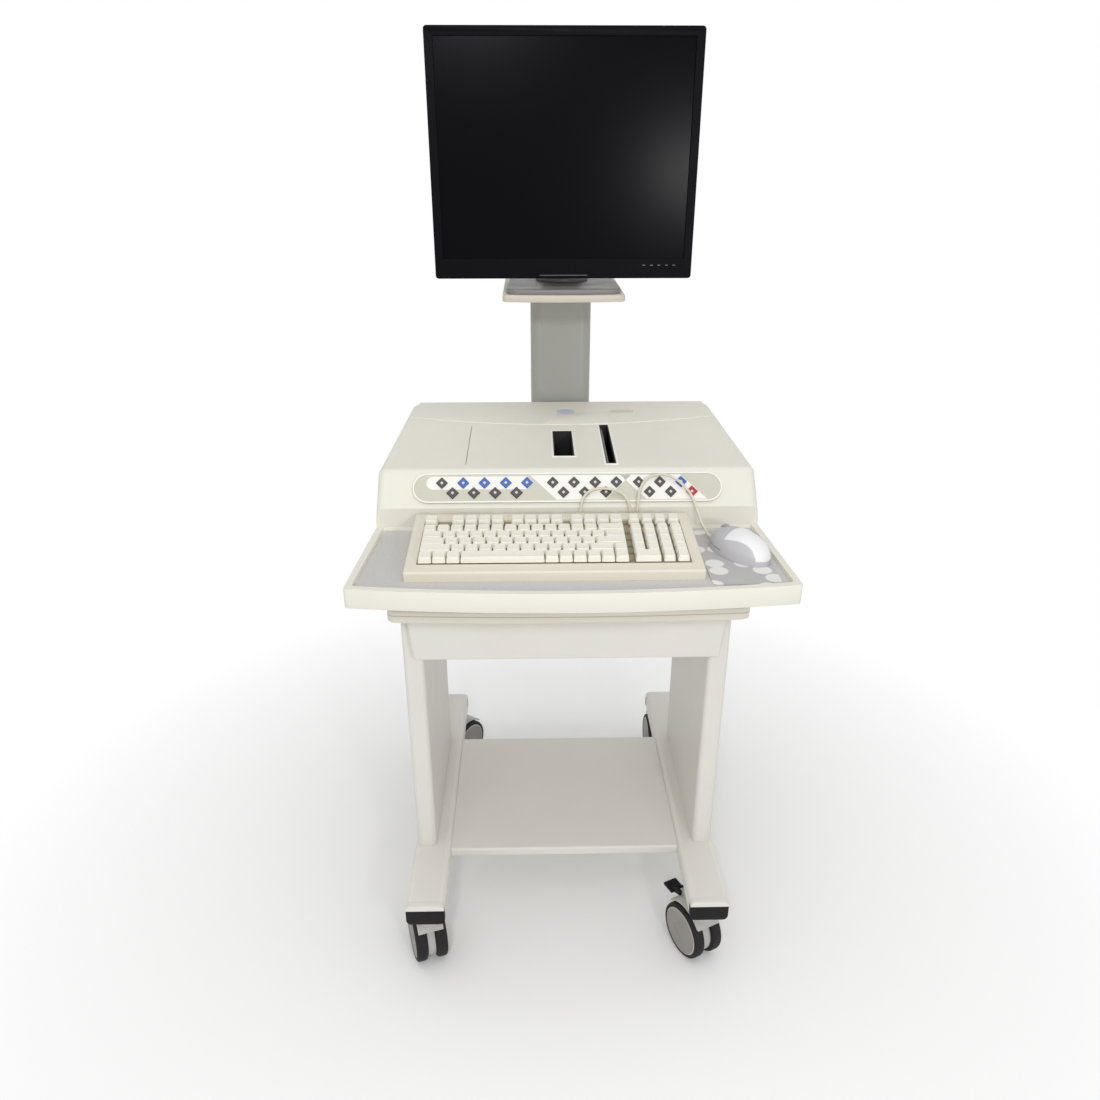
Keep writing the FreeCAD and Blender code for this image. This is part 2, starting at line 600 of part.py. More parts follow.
board = bowed_plate(size("board_half"), size("board_half"), size("board_rear"), size("board_front"),
                    size("board_bow"), size("board_top") - size("board_thick"), size("board_top"))
board = fillet_where(board, size("board_corner"), upright_edge)
board = fillet_where(board, size("board_round"), lambda edge: not upright_edge(edge))
keep_shape("top_board", board)

# Drawer
front_y = size("upright_front") - size("drawer_gap")
low, high = size("drawer_front_low"), size("drawer_front_high")
half, lean = size("drawer_half"), size("drawer_taper")
drawer_front = polygon([Vector(-half, front_y, high), Vector(half, front_y, high),
                        Vector(half - lean, front_y, low), Vector(lean - half, front_y, low)])
drawer_front = drawer_front.extrude(Vector(0, -size("drawer_front_thick"), 0))
drawer_front = fillet_where(drawer_front, size("drawer_front_thick") / 4,
                            lambda edge: max(vertex.Point.y for vertex in edge.Vertexes) < front_y - 1)
keep_shape("drawer_front", drawer_front)

drawer_outer = box("drawer_outer", ("-drawer_box_half", "upright_front - drawer_gap", "drawer_box_low"),
                   ("2 * drawer_box_half", "drawer_box_depth", "drawer_box_high - drawer_box_low"))
drawer_inner = box("drawer_inner",
                   ("-drawer_box_half + drawer_sheet", "upright_front - drawer_gap + drawer_sheet",
                    "drawer_box_low + drawer_sheet"),
                   ("2 * (drawer_box_half - drawer_sheet)", "drawer_box_depth - 2 * drawer_sheet",
                    "drawer_box_high - drawer_box_low"))
flanges = [box(f"flange_{side}", (place, "upright_front + drawer_gap", "runner_level"),
               ("flange_reach", "drawer_box_depth - 2 * drawer_gap", "drawer_sheet"))
           for side, place in (("left", "-drawer_box_half - flange_reach"), ("right", "drawer_box_half"))]
drawer_pan = cut("drawer_pan", drawer_outer, [drawer_inner])
keep(fuse("drawer_fuse", [drawer_pan] + flanges), "drawer_box")

runners = []
for side, plate, ledge in (("left", "-upright_inner", "-upright_inner + runner_plate"),
                           ("right", "upright_inner - runner_plate", "drawer_box_half + drawer_gap")):
    web = box(side + "_runner_plate",
              (plate, "upright_front + runner_plate", "runner_level - runner_tall / 2"),
              ("runner_plate", "runner_length", "runner_tall"))
    shelf_part = box(side + "_runner_ledge",
                     (ledge, "upright_front + runner_plate", "runner_level - sliding_gap - runner_plate"),
                     ("upright_inner - runner_plate - drawer_box_half - drawer_gap", "runner_length",
                      "runner_plate"))
    runners.append(fuse(side + "_runner", [web, shelf_part]))
pair = doc.addObject("Part::Compound", "runner_pair")
pair.Links = runners
keep(pair, "drawer_runners")

# Console base: body on the board, tray in front of it, held on two ribs
wall = size("base_wall")
rear, rear_half = size("console_rear"), size("console_rear_half")
front, front_half = size("console_front"), size("console_front_half")
flare = (front_half - rear_half) / (rear - front)


def console_plan(inset, low, high):
    plate = bowed_plate(rear_half - inset, front_half - inset, rear - inset, front + inset,
                        size("console_bow"), low, high)
    plate = fillet_where(plate, size("tray_corner"),
                         lambda edge: upright_edge(edge) and edge.CenterOfMass.y < size("hump_front"))
    return fillet_where(plate, size("console_corner") - inset,
                        lambda edge: upright_edge(edge) and edge.CenterOfMass.y > size("hump_front"))


def half_at(depth):
    return rear_half + flare * (rear - depth)


tray_low, tray_high = size("tray_low"), size("tray_high")
base_top = size("board_top")
rim = console_plan(0, tray_low, tray_high)
lower = Part.makeBox(2 * size("base_half"), rear - wall - size("base_front"), tray_low - base_top,
                     Vector(-size("base_half"), size("base_front"), base_top))
lower = fillet_where(lower, size("console_corner") / 2, upright_edge)
console_base = rim.fuse(lower)
for sign in (-1, 1):
    rib = prism_x([(size("base_front"), tray_low), (front + 3 * size("tray_lip"), tray_low),
                   (size("base_front"), tray_low - size("rib_drop"))], size("rib_thick") / 2)
    rib.translate(Vector(sign * size("rib_place"), 0, 0))
    console_base = console_base.fuse(rib)
cavity_front = size("hump_front") + 2 * size("cover_wall")
cavity = Part.makeBox(2 * (size("base_half") - wall), rear - 2 * wall - cavity_front, tray_high - base_top,
                      Vector(wall - size("base_half"), cavity_front, base_top + wall))
recess = console_plan(size("tray_lip"), size("tray_floor"), tray_high + wall)
recess = recess.cut(Part.makeBox(2 * front_half, rear - size("hump_front") + wall, 4 * wall + tray_high,
                                 Vector(-front_half, size("hump_front"), 0)))
inlet_hole = Part.makeBox(size("inlet_width"), 4 * wall, size("inlet_tall"),
                          Vector(-size("inlet_place") - size("inlet_width") / 2, rear - 3 * wall,
                                 size("inlet_level") - size("inlet_tall") / 2))
console_base = console_base.cut(cavity).cut(recess).cut(inlet_hole)
drop_depth = size("hump_front") - size("drop_gap")
cord_drops = [Vector(size("keyboard_drop"), drop_depth, 0), Vector(size("mouse_drop"), drop_depth, 0)]
drop_radius = (size("bushing_size") + size("sliding_gap")) / 2
for drop in cord_drops:
    console_base = console_base.cut(Part.makeCylinder(drop_radius, tray_high - tray_low + wall,
                                                      Vector(drop.x, drop.y, tray_low - wall)))
keep_shape("console_base", console_base.removeSplitter())

# Cover: key face sloping up to a long, gently rising top
cover_angle = math.degrees(math.atan2(size("cover_rear_high") - size("slope_high"),
                                      rear - size("slope_back")))
slope_angle = math.degrees(math.atan2(size("slope_high") - size("slope_low"),
                                      size("slope_back") - size("hump_front")))


def hump(inset):
    """The cover's outer form, or the same drawn in by a wall."""
    rise = inset / math.cos(math.radians(cover_angle))
    lean = inset / math.sin(math.radians(slope_angle))
    profile = [(size("hump_front") + inset, tray_high - inset),
               (size("hump_front") + inset, size("slope_low")),
               (size("slope_back") + lean, size("slope_high") - rise),
               (rear - inset, size("cover_rear_high") - rise), (rear - inset, tray_high - inset)]
    form = prism_x(profile, front_half)
    plan = bowed_plate(rear_half - inset, front_half - inset, rear, front, size("console_bow"),
                       tray_high - 2 * wall, size("cover_rear_high") + wall)
    form = form.common(plan)
    rear_edges = [edge for edge in form.Edges
                  if upright_edge(edge) and edge.Vertexes[0].Point.y > rear - 2 * wall]
    form = form.makeFillet(size("console_corner") - inset, rear_edges)
    top_edges = [edge for edge in form.Edges if edge.BoundBox.ZMin > size("slope_low") - 2 * wall
                 and not upright_edge(edge) and edge.BoundBox.ZMax > size("slope_high") - 2 * wall]
    return form.makeFillet(size("cover_round") - inset, top_edges)


def on_top(across, depth):
    """A frame on the cover's top: X across, Y up the slope, Z square to the surface."""
    level = size("slope_high") + (depth - size("slope_back")) * math.tan(math.radians(cover_angle))
    return Placement(Vector(across, depth, level), Rotation(Vector(1, 0, 0), cover_angle))


def on_slope(across, up, off):
    """A point of the key face: across it, up it from its middle, and off it."""
    middle = Vector(0, (size("hump_front") + size("slope_back")) / 2,
                    (size("slope_low") + size("slope_high")) / 2)
    return middle + Rotation(Vector(1, 0, 0), slope_angle).multVec(Vector(across, up, off))


slope_frame = Placement(on_slope(0, 0, 0), Rotation(Vector(1, 0, 0), slope_angle))


def placed(shape, place):
    shape.Placement = place
    return shape


def top_block(across, depth, width, length, low, high):
    """A block on the cover's top, between two heights off its surface."""
    block = Part.makeBox(width, length, high - low, Vector(-width / 2, 0, low))
    return placed(block, on_top(across, depth))


cover = hump(0)
deck = bowed_plate(half_at(rear) - size("cover_round"), half_at(size("deck_side")) - size("cover_round"),
                   rear - size("cover_round"), size("deck_side"), size("deck_side") - size("deck_front"),
                   tray_high, size("cover_rear_high") + 4 * wall)
deck_slab = top_block(0, size("slope_back"), 2 * front_half, 2 * rear_half,
                      -size("cover_wall"), size("deck_raise"))
cover = cover.fuse(deck.common(deck_slab))
for bay in ("dock", "slot"):
    rim_block = top_block(size(bay + "_place"), size(bay + "_front") - size("frame_width"),
                          size(bay + "_width") + 2 * size("frame_width"),
                          size(bay + "_length") + 2 * size("frame_width"),
                          -size("cover_wall"), size("frame_raise"))
    cover = cover.fuse(rim_block)
cover = cover.cut(hump(size("cover_wall")))
for bay in ("dock", "slot"):
    cover = cover.cut(top_block(size(bay + "_place"), size(bay + "_front"), size(bay + "_width"),
                                size(bay + "_length"), -3 * wall, 3 * wall))
cover = cover.cut(top_block(size("groove_place"), size("groove_front"), size("groove_width"),
                            size("groove_length"), -size("recess_deep"), wall))
panel_hole = stadium(size("panel_half") - size("panel_seat"), size("panel_tall") - 2 * size("panel_seat"),
                     -2 * wall, 2 * wall)
cover = cover.cut(placed(panel_hole, slope_frame))
badge_depth = (size("deck_front") + rear) / 2
recess_level = size("deck_raise") - size("recess_deep")
badge = Part.makeCylinder(size("badge_radius"), 4 * wall, Vector(0, 0, recess_level))
cover = cover.cut(placed(badge, on_top(size("badge_place"), badge_depth)))
blank = stadium(size("blank_half"), size("blank_tall"), recess_level, 4 * wall)
cover = cover.cut(placed(blank, on_top(size("blank_place"), badge_depth)))
keep_shape("console_cover", cover.removeSplitter())

# Liners of the module dock and the paper slot
for bay, label in (("dock", "module_dock"), ("slot", "paper_slot")):
    thick = size("liner_wall")
    deep = size(bay + "_deep")
    outer = top_block(size(bay + "_place"), size(bay + "_front"), size(bay + "_width"), size(bay + "_length"),
                      -deep, 0)
    inner = Part.makeBox(size(bay + "_width") - 2 * thick, size(bay + "_length") - 2 * thick, deep,
                         Vector(thick - size(bay + "_width") / 2, thick, thick - deep))
    inner = placed(inner, on_top(size(bay + "_place"), size(bay + "_front")))
    keep_shape(label, outer.cut(inner))

# Control panel with diamond keys over their keypad board
key_nodes = {
    "dark_function_keys": [("key_left", 0, 1)] + [("key_left", step, -1) for step in range(4)],
    "blue_function_keys": [("key_left", step, 1) for step in range(1, 5)],
    "centre_keys": ([("key_middle", step, 1) for step in range(4)]
                    + [("key_middle", step, -1) for step in range(3)]),
    "right_keys": [("key_right", step, row) for step in range(2) for row in (1, -1)],
    "start_key": [("key_right", 2, 1)],
    "stop_key": [("key_right", 2, -1)],
}


def key_centre(group, step, row):
    """Lower keys stand half a pitch to the right of the upper ones."""
    shift = 0 if row > 0 else size("key_pitch") / 2
    return size(group) + step * size("key_pitch") + shift, row * size("key_row")


def diamond(half, centre, low, high):
    x, y = centre
    points = [Vector(x - half, y, low), Vector(x, y - half, low),
              Vector(x + half, y, low), Vector(x, y + half, low)]
    return polygon(points).extrude(Vector(0, 0, high - low))


panel = stadium(size("panel_half"), size("panel_tall"), 0, size("panel_thick"))
rim_outer = stadium(size("panel_half"), size("panel_tall"), 0, size("panel_thick") + size("panel_rim"))
rim_inner = stadium(size("panel_half") - size("panel_rim_width"),
                    size("panel_tall") - 2 * size("panel_rim_width"),
                    0, size("panel_thick") + 2 * size("panel_rim"))
panel = panel.fuse(rim_outer.cut(rim_inner))
last_left = size("key_left") + 4 * size("key_pitch")
last_middle = size("key_middle") + 3 * size("key_pitch")
post_reach = size("panel_half") - size("post_inset")
between_groups = ((last_left + size("key_middle")) / 2, (last_middle + size("key_right")) / 2)
for across in (-post_reach, *between_groups, post_reach):
    panel = panel.fuse(Part.makeCylinder(size("post_radius"), size("keypad_depth"),
                                         Vector(across, 0, -size("keypad_depth"))))
hole_half = size("key_half") + size("sliding_gap") * math.sqrt(2)
for keys in key_nodes.values():
    for key in keys:
        panel = panel.cut(diamond(hole_half, key_centre(*key), -wall, 3 * wall))
keep_shape("control_panel", panel.removeSplitter(), slope_frame)

keypad = stadium(size("panel_half") - size("panel_seat") - wall, size("panel_tall") - 2 * size("panel_seat"),
                 -size("keypad_depth") - size("keypad_thick"), -size("keypad_depth"))
keep_shape("keypad_board", keypad, slope_frame)


def on_key_top(edge):
    return level_edge(edge, size("panel_thick") + size("key_proud"))


for label, keys in key_nodes.items():
    key_foot = size("key_travel") + size("sliding_gap") - size("keypad_depth")
    shapes = [diamond(size("key_half"), key_centre(*key), key_foot, size("panel_thick") + size("key_proud"))
              for key in keys]
    shapes = [fillet_where(shape, size("key_round"), on_key_top) for shape in shapes]
    keep_shape(label, Part.makeCompound(shapes) if len(shapes) > 1 else shapes[0], slope_frame)

# Inside the console
floor = base_top + wall
writer = box("writer_block", ("slot_place + slot_width / 2 - writer_width", "slot_front",
                              "board_top + base_wall"),
             ("writer_width", "writer_depth", "writer_tall"))
keep(rounded("writer_round", writer, size("base_wall"), along("y")), "chart_writer")
supply = box("supply_block",
             ("base_half - base_wall - supply_width", "console_rear - 3 * base_wall - supply_depth",
              "board_top + base_wall"),
             ("supply_width", "supply_depth", "supply_tall"))
keep(rounded("supply_round", supply, size("base_wall") / 2, along("z")), "power_supply")
mother_corner = Vector(size("base_half") - wall - size("mother_width"), cavity_front + wall, floor)
mother = Part.makeBox(size("mother_width"), size("mother_depth"), size("mother_thick"),
                      mother_corner + Vector(0, 0, size("spacer_tall")))
for across in (wall, size("mother_width") - wall):
    for back in (wall, size("mother_depth") - wall):
        spacer = Part.makeCylinder(size("spacer_radius"), size("spacer_tall"),
                                   mother_corner + Vector(across, back, 0))
        mother = mother.fuse(spacer)
keep_shape("main_board", mother)

inlet = Part.makeBox(size("inlet_width"), 3 * wall, size("inlet_tall"),
                     Vector(-size("inlet_place") - size("inlet_width") / 2, rear - 3 * wall,
                            size("inlet_level") - size("inlet_tall") / 2))
socket = Part.makeBox(size("inlet_width") - 4 * wall, 3 * wall, size("inlet_tall") - 2 * wall,
                      Vector(2 * wall - size("inlet_place") - size("inlet_width") / 2, rear - 2 * wall,
                             size("inlet_level") + wall - size("inlet_tall") / 2))
keep_shape("mains_inlet", inlet.cut(socket))

# Tray mat and mouse pad
mat_top = size("tray_floor") + size("mat_thick")
mat = console_plan(size("tray_lip"), size("tray_floor"), mat_top)
mat = mat.cut(Part.makeBox(2 * front_half, rear - size("hump_front") + wall, 2 * mat_top,
                           Vector(-front_half, size("hump_front"), 0)))
for drop in cord_drops:
    mat = mat.cut(Part.makeCylinder(drop_radius, 3 * size("mat_thick"),
                                    Vector(drop.x, drop.y, size("tray_floor") - size("mat_thick"))))
keep_shape("tray_mat", mat)
pad_left = size("keyboard_place") + size("keyboard_width") / 2 + size("pad_gap")
pad_front = size("keyboard_front") - size("pad_ahead")
pad_right = half_at(pad_front) - size("tray_lip") - size("pad_margin")
pad_rear = size("hump_front") - size("pad_back")
mouse_pad = Part.makeBox(pad_right - pad_left, pad_rear - pad_front, size("mat_thick"),
                         Vector(pad_left, pad_front, mat_top))
keep_shape("mouse_pad", fillet_where(mouse_pad, size("pad_round"), upright_edge))

# Keyboard: wedge case with a trough for the keys, and six rows of keycaps
case_left = size("keyboard_place") - size("keyboard_width") / 2
case_rear = size("keyboard_front") + size("keyboard_depth")
case_angle = math.degrees(math.atan2(size("keyboard_high") - size("keyboard_low"), size("keyboard_depth")))
case = prism_x([(size("keyboard_front"), mat_top), (case_rear, mat_top),
                (case_rear, mat_top + size("keyboard_high")),
                (size("keyboard_front"), mat_top + size("keyboard_low"))], size("keyboard_width") / 2)
case.translate(Vector(size("keyboard_place"), 0, 0))
case = fillet_where(case, size("keyboard_round"),
                    lambda edge: edge.BoundBox.ZMax > mat_top + size("keyboard_low") / 2)
deck_frame = Placement(Vector(case_left, size("keyboard_front"), mat_top + size("keyboard_low")),
                       Rotation(Vector(1, 0, 0), case_angle))
pitch = size("cap_pitch")
main_keys = 15
number_start = main_keys + 0.35
row_count = 6
key_margin, row_margin = size("key_margin"), size("row_margin")
ROWS = [
    ([1, 1, 1, 6] + [1] * 6, [2, 1, 1]),
    ([2.25] + [1] * 10 + [1.75, 1], [1, 1, 1, 1]),
    ([1.75] + [1] * 11 + [2.25], [1, 1, 1, 1]),
    ([1.5] + [1] * 12 + [1.5], [1, 1, 1, 1]),
    ([1] * 13 + [2], [1, 1, 1, 1]),
    ([1, -1, 1, 1, 1, 1, -0.5, 1, 1, 1, 1, -0.5, 1, 1, 1, 1], [1, 1, 1, 1]),
]


def row_start(row):
    """The function row stands half a pitch behind the rest."""
    return row_margin + (row + (0.5 if row == row_count - 1 else 0)) * pitch


trough = Part.makeBox(size("keyboard_width") - 2 * key_margin + size("cap_gap"),
                      (row_count + 0.5) * pitch + size("cap_gap"), 4 * size("well_deep"),
                      Vector(key_margin - size("cap_gap") / 2, row_margin - size("cap_gap") / 2,
                             -size("cap_sunk")))
case = case.cut(placed(trough, deck_frame))
for row in range(row_count):
    well_width = size("stem_width") + 2 * size("sliding_gap")
    well = Part.makeBox(size("keyboard_width") - 2 * key_margin, well_width,
                        size("well_deep") + size("cap_sunk"),
                        Vector(key_margin, row_start(row) + (pitch - well_width) / 2,
                               -size("well_deep") - size("cap_sunk")))
    case = case.cut(placed(well, deck_frame))
keep_shape("keyboard_case", case.removeSplitter())


def keycap(left, near, units):
    """A tapered cap on a stem, in the frame of the case top."""
    gap = size("cap_gap") / 2
    taper = size("cap_taper")
    foot = size("cap_travel") + size("sliding_gap") - size("cap_sunk")
    x0, x1 = left + gap, left + units * pitch - gap
    y0, y1 = near + gap, near + pitch - gap

    def ring(inset, lift):
        points = [Vector(x0 + inset, y0 + inset, lift), Vector(x1 - inset, y0 + inset, lift),
                  Vector(x1 - inset, y1 - inset, lift), Vector(x0 + inset, y1 - inset, lift)]
        return Part.makePolygon(points + [points[0]])

    cap = Part.makeLoft([ring(0, foot), ring(taper, foot + size("cap_tall"))], True, True)
    middle = (x0 + x1) / 2
    stem = Part.makeBox(size("stem_width"), size("stem_width"), size("well_deep"),
                        Vector(middle - size("stem_width") / 2, near + (pitch - size("stem_width")) / 2,
                               foot - size("well_deep") + size("sliding_gap")))
    return cap.fuse(stem).removeSplitter()


for row, (main_row, number_row) in enumerate(ROWS):
    caps_in_row = []
    for start, units_list in ((0, main_row), (number_start, number_row)):
        place = key_margin + start * pitch
        for units in units_list:
            if units > 0:
                caps_in_row.append(keycap(place, row_start(row), units))
            place += abs(units) * pitch
    keep_shape(f"keyboard_row_{row + 1}", Part.makeCompound(caps_in_row), deck_frame)

# Mouse: base, palm shell, two buttons and a wheel
pad_top = mat_top + size("mat_thick")
mouse_frame = Placement(Vector(size("mouse_place"), size("mouse_depth_place"), pad_top),
                        Rotation(Vector(0, 0, 1), size("mouse_turn")))


mouse_axis = size("mouse_tall") - size("mouse_width") / 2


def mouse_crest(depth):
    """Height of the mouse's back at a station along it."""
    share = depth / (size("mouse_length") / 2)
    return mouse_axis + size("mouse_width") / 2 * math.sqrt(1 - share ** 2)


def mouse_form(inset, low):
    """An ellipse turned about the mouse's length and cut flat at a level, drawn in by a wall."""
    length, width = size("mouse_length") / 2 - inset, size("mouse_width") / 2 - inset
    ellipse = Part.Ellipse(Vector(0, length, 0), Vector(width, 0, 0), Vector(0, 0, 0))
    tip, tail = Vector(0, length, 0), Vector(0, -length, 0)
    bow = Part.ArcOfEllipse(ellipse, -math.pi, 0).toShape()
    outline = Part.Face(Part.Wire([bow, Part.makeLine(bow.Vertexes[-1].Point, bow.Vertexes[0].Point)]))
    form = outline.revolve(Vector(0, 0, 0), tip - tail, 360)
    form.translate(Vector(0, 0, mouse_axis))
    return form.cut(slab(-2 * length, 2 * length, low - size("mouse_width"), low))


def slab(start, end, low, high):
    """A block across the mouse between two stations along it."""
    return Part.makeBox(2 * size("mouse_width"), end - start, high - low,
                        Vector(-size("mouse_width"), start, low))


length = size("mouse_length")
tall = size("mouse_tall")
base_tall = size("mouse_base_tall")
mouse_whole = mouse_form(0, base_tall)
mouse_inside = mouse_form(size("mouse_wall"), base_tall)
wheel_depth = size("mouse_wheel_place")
wheel_half = size("mouse_wheel_width") / 2
wheel_gap = size("mouse_gap")
wheel_level = mouse_crest(wheel_depth) + size("mouse_wheel_proud") - size("mouse_wheel_radius")
wheel_centre = Vector(0, wheel_depth, wheel_level)
wheel_room = Part.makeCylinder(size("mouse_wheel_radius") + wheel_gap, 2 * (wheel_half + wheel_gap),
                               wheel_centre - Vector(wheel_half + wheel_gap, 0, 0), Vector(1, 0, 0))
foot_share = math.sqrt(1 - ((base_tall - mouse_axis) / (size("mouse_width") / 2)) ** 2)
foot_plan = Part.Ellipse(Vector(0, foot_share * length / 2, 0),
                         Vector(foot_share * size("mouse_width") / 2, 0, 0), Vector(0, 0, 0))
mouse_base = Part.Face(Part.Wire(foot_plan.toShape())).extrude(Vector(0, 0, base_tall))
cheek_near = wheel_half + size("cheek_gap")
cheeks = [Part.makeBox(size("cheek_thick"), size("cheek_depth"), wheel_centre.z - base_tall,
                       Vector(x, wheel_depth - size("cheek_depth") / 2, base_tall))
          for x in (-cheek_near - size("cheek_thick"), cheek_near)]
for cheek in cheeks:
    mouse_base = mouse_base.fuse(cheek)
axle_half = cheek_near + size("cheek_thick")
axle_room = Part.makeCylinder(size("mouse_axle") / 2 + size("sliding_gap"), 2 * axle_half,
                              wheel_centre - Vector(axle_half, 0, 0), Vector(1, 0, 0))
mouse_base = mouse_base.cut(axle_room)
keep_shape("mouse_base", mouse_base.removeSplitter(), mouse_frame)
mouse_skin = mouse_whole.cut(mouse_inside)
split = size("mouse_split")
palm = mouse_skin.common(slab(-length, split, base_tall, 2 * tall))
keep_shape("mouse_shell", palm, mouse_frame)
lever_low = base_tall + size("lever_gap")
front_skin = mouse_skin.common(slab(split + size("mouse_gap"), length, lever_low, 2 * tall)).cut(wheel_room)
for label, sign in (("mouse_left_button", -1), ("mouse_right_button", 1)):
    start = -size("mouse_width") if sign < 0 else size("mouse_gap") / 2
    half_room = Part.makeBox(size("mouse_width") - size("mouse_gap") / 2, 2 * length, 2 * tall,
                             Vector(start, 0, 0))
    keep_shape(label, front_skin.common(half_room), mouse_frame)
wheel = Part.makeCylinder(size("mouse_wheel_radius"), 2 * wheel_half, wheel_centre - Vector(wheel_half, 0, 0),
                          Vector(1, 0, 0))
wheel = fillet_where(wheel, size("mouse_wheel_round"), lambda edge: len(edge.Vertexes) == 1)
wheel = wheel.fuse(Part.makeCylinder(size("mouse_axle") / 2, 2 * axle_half,
                                     wheel_centre - Vector(axle_half, 0, 0), Vector(1, 0, 0)))
keep_shape("mouse_wheel", wheel.removeSplitter(), mouse_frame)

# Cords: straight runs joined by arcs as large as the runs allow
exit_level = base_tall / 2
nose = mouse_frame.multVec(Vector(0, foot_share * length / 2, exit_level))
nose_out = mouse_frame.multVec(Vector(0, length / 2 + size("sleeve_length"), exit_level))
MOUSE_ROUTE = [nose_out, Vector(200, -192, 799), Vector(194, -177, 814), on_slope(186, -18, 9.5),
               on_slope(176, -3, 9), on_slope(161, 12, 9), on_slope(139, 19, 9), on_slope(117, 12, 9),
               on_slope(107, -6, 9), on_slope(104, -24, 9.5), Vector(103, drop_depth, 813),
               Vector(103, drop_depth, mat_top + size("bushing_tall"))]
KEYBOARD_ROUTE = [Vector(18, -168.5, 816), on_slope(20, -24, 9.5), on_slope(27, -11, 9), on_slope(41, -4, 9),
                  on_slope(60, -4, 9), on_slope(78, -9, 9), on_slope(89, -21, 9.5),
                  Vector(94, drop_depth, 814), Vector(94, drop_depth, mat_top + size("bushing_tall"))]


CORNER_SHARE = 0.45


def cord(label, route):
    """One tube along the route, with every corner rounded over a share of its shorter run."""
    edges = []
    start = route[0]
    path = 0
    for before, corner, after in zip(route, route[1:], route[2:]):
        inward, outward = corner - before, after - corner
        turn = inward.getAngle(outward)
        reach = CORNER_SHARE * min(inward.Length, outward.Length)
        radius = reach / math.tan(turn / 2)
        enter = corner - inward.normalize() * reach
        leave = corner + outward.normalize() * reach
        toward = (enter + leave) * 0.5 - corner
        depth = radius / math.cos(turn / 2) - radius
        middle = corner + toward.normalize() * depth
        edges.append(Part.makeLine(start, enter))
        edges.append(Part.Arc(enter, middle, leave).toShape())
        path += (enter - start).Length + radius * turn
        start = leave
        print(f"{label} turn {math.degrees(turn):.0f} deg, radius {radius:.1f} mm")
    edges.append(Part.makeLine(start, route[-1]))
    path += (route[-1] - start).Length
    wire = Part.Wire(edges)
    heading = edges[0].tangentAt(edges[0].FirstParameter)
    section = Part.Wire(Part.makeCircle(size("cord_size") / 2, route[0], heading))
    tube = wire.makePipeShell([section], True, False)
    expected = math.pi * size("cord_size") ** 2 / 4 * path
    print(f"{label} length {path:.0f} mm, volume {tube.Volume / expected:.3f} of section times length")
    keep_shape(label, tube)


cord("mouse_cord", MOUSE_ROUTE)
cord("keyboard_cord", KEYBOARD_ROUTE)


def sleeve(start, end, big, small):
    """A tapered rubber sleeve round the end of a cord."""
    axis = end - start
    return Part.makeCone(big, small, axis.Length, start, axis)


sleeve_reach = length / 2 + size("sleeve_length") - size("sleeve_gap")
sleeve_end = mouse_frame.multVec(Vector(0, sleeve_reach, exit_level))
bushings = [sleeve(nose, sleeve_end, size("sleeve_big"), size("sleeve_small"))]
relief_corner = Vector(KEYBOARD_ROUTE[0].x - size("relief_width") / 2, case_rear,
                       KEYBOARD_ROUTE[0].z - size("relief_gap") - size("relief_tall"))
bushings.append(Part.makeBox(size("relief_width"), size("relief_depth"), size("relief_tall"), relief_corner))
for drop in cord_drops:
    bushings.append(Part.makeCylinder(size("bushing_size") / 2, size("bushing_tall") + mat_top - tray_low,
                                      Vector(drop.x, drop.y, tray_low)))
keep_shape("cord_bushings", Part.makeCompound(bushings))

# Column, platform and monitor
column_outer = rectangle_body("column_outer", "XY_Plane", ("-column_half", "column_front"),
                              ("2 * column_half", "column_depth"), "board_top", "column_top - board_top",
                              "column_round")
column_bore = rectangle_body("column_bore", "XY_Plane",
                             ("-column_half + column_wall", "column_front + column_wall"),
                             ("2 * (column_half - column_wall)", "column_depth - 2 * column_wall"),
                             "board_top + column_wall", "column_top - board_top - 2 * column_wall",
                             "column_round - column_wall")
keep(cut("column_cut", column_outer, [column_bore]), "column")

platform_top = size("column_top") + size("platform_thick")
platform = bowed_plate(size("platform_half"), size("platform_half"), size("platform_rear"),
                       size("platform_front"), size("platform_bow"), size("column_top"), platform_top)
platform = fillet_where(platform, size("platform_thick"), upright_edge)
platform = fillet_where(platform, size("platform_thick") / 3, lambda edge: level_edge(edge, platform_top))
keep_shape("column_platform", platform)

foot_top = platform_top + size("foot_thick")
foot = bowed_plate(size("foot_half") - size("foot_taper"), size("foot_half"), size("foot_rear"),
                   size("foot_front"), size("platform_bow"), platform_top, foot_top)
foot = fillet_where(foot, size("foot_corner"), upright_edge)
keep_shape("monitor_foot", fillet_where(foot, size("foot_round"), lambda edge: level_edge(edge, foot_top)))

turntable_top = "(column_top + platform_thick + foot_thick + sliding_gap + turntable_thick)"
turntable = rod("turntable", ("0", "swivel_depth", turntable_top + " - turntable_thick"),
                "turntable_radius", "turntable_thick")
neck_plate = box("neck_plate", ("-neck_half", "swivel_depth", turntable_top),
                 ("2 * neck_half", "neck_thick", "hinge_level + ear_half - " + turntable_top))
neck_plate = rounded("neck_round", neck_plate, size("neck_thick") / 3, along("z"))
hinge_block = box("hinge_block", ("-hinge_block / 2", "hinge_depth", "hinge_level - ear_half + sliding_gap"),
                  ("hinge_block", "swivel_depth - hinge_depth", "2 * (ear_half - sliding_gap)"))
pin_length = "(hinge_block + 2 * ear_width + 4 * sliding_gap)"
pin = rod("tilt_pin", ("-" + pin_length + " / 2", "hinge_depth", "hinge_level"), "hinge_pin / 2",
          pin_length, "x")
keep(fuse("neck_fuse", [turntable, neck_plate, hinge_block, pin]), "monitor_neck")

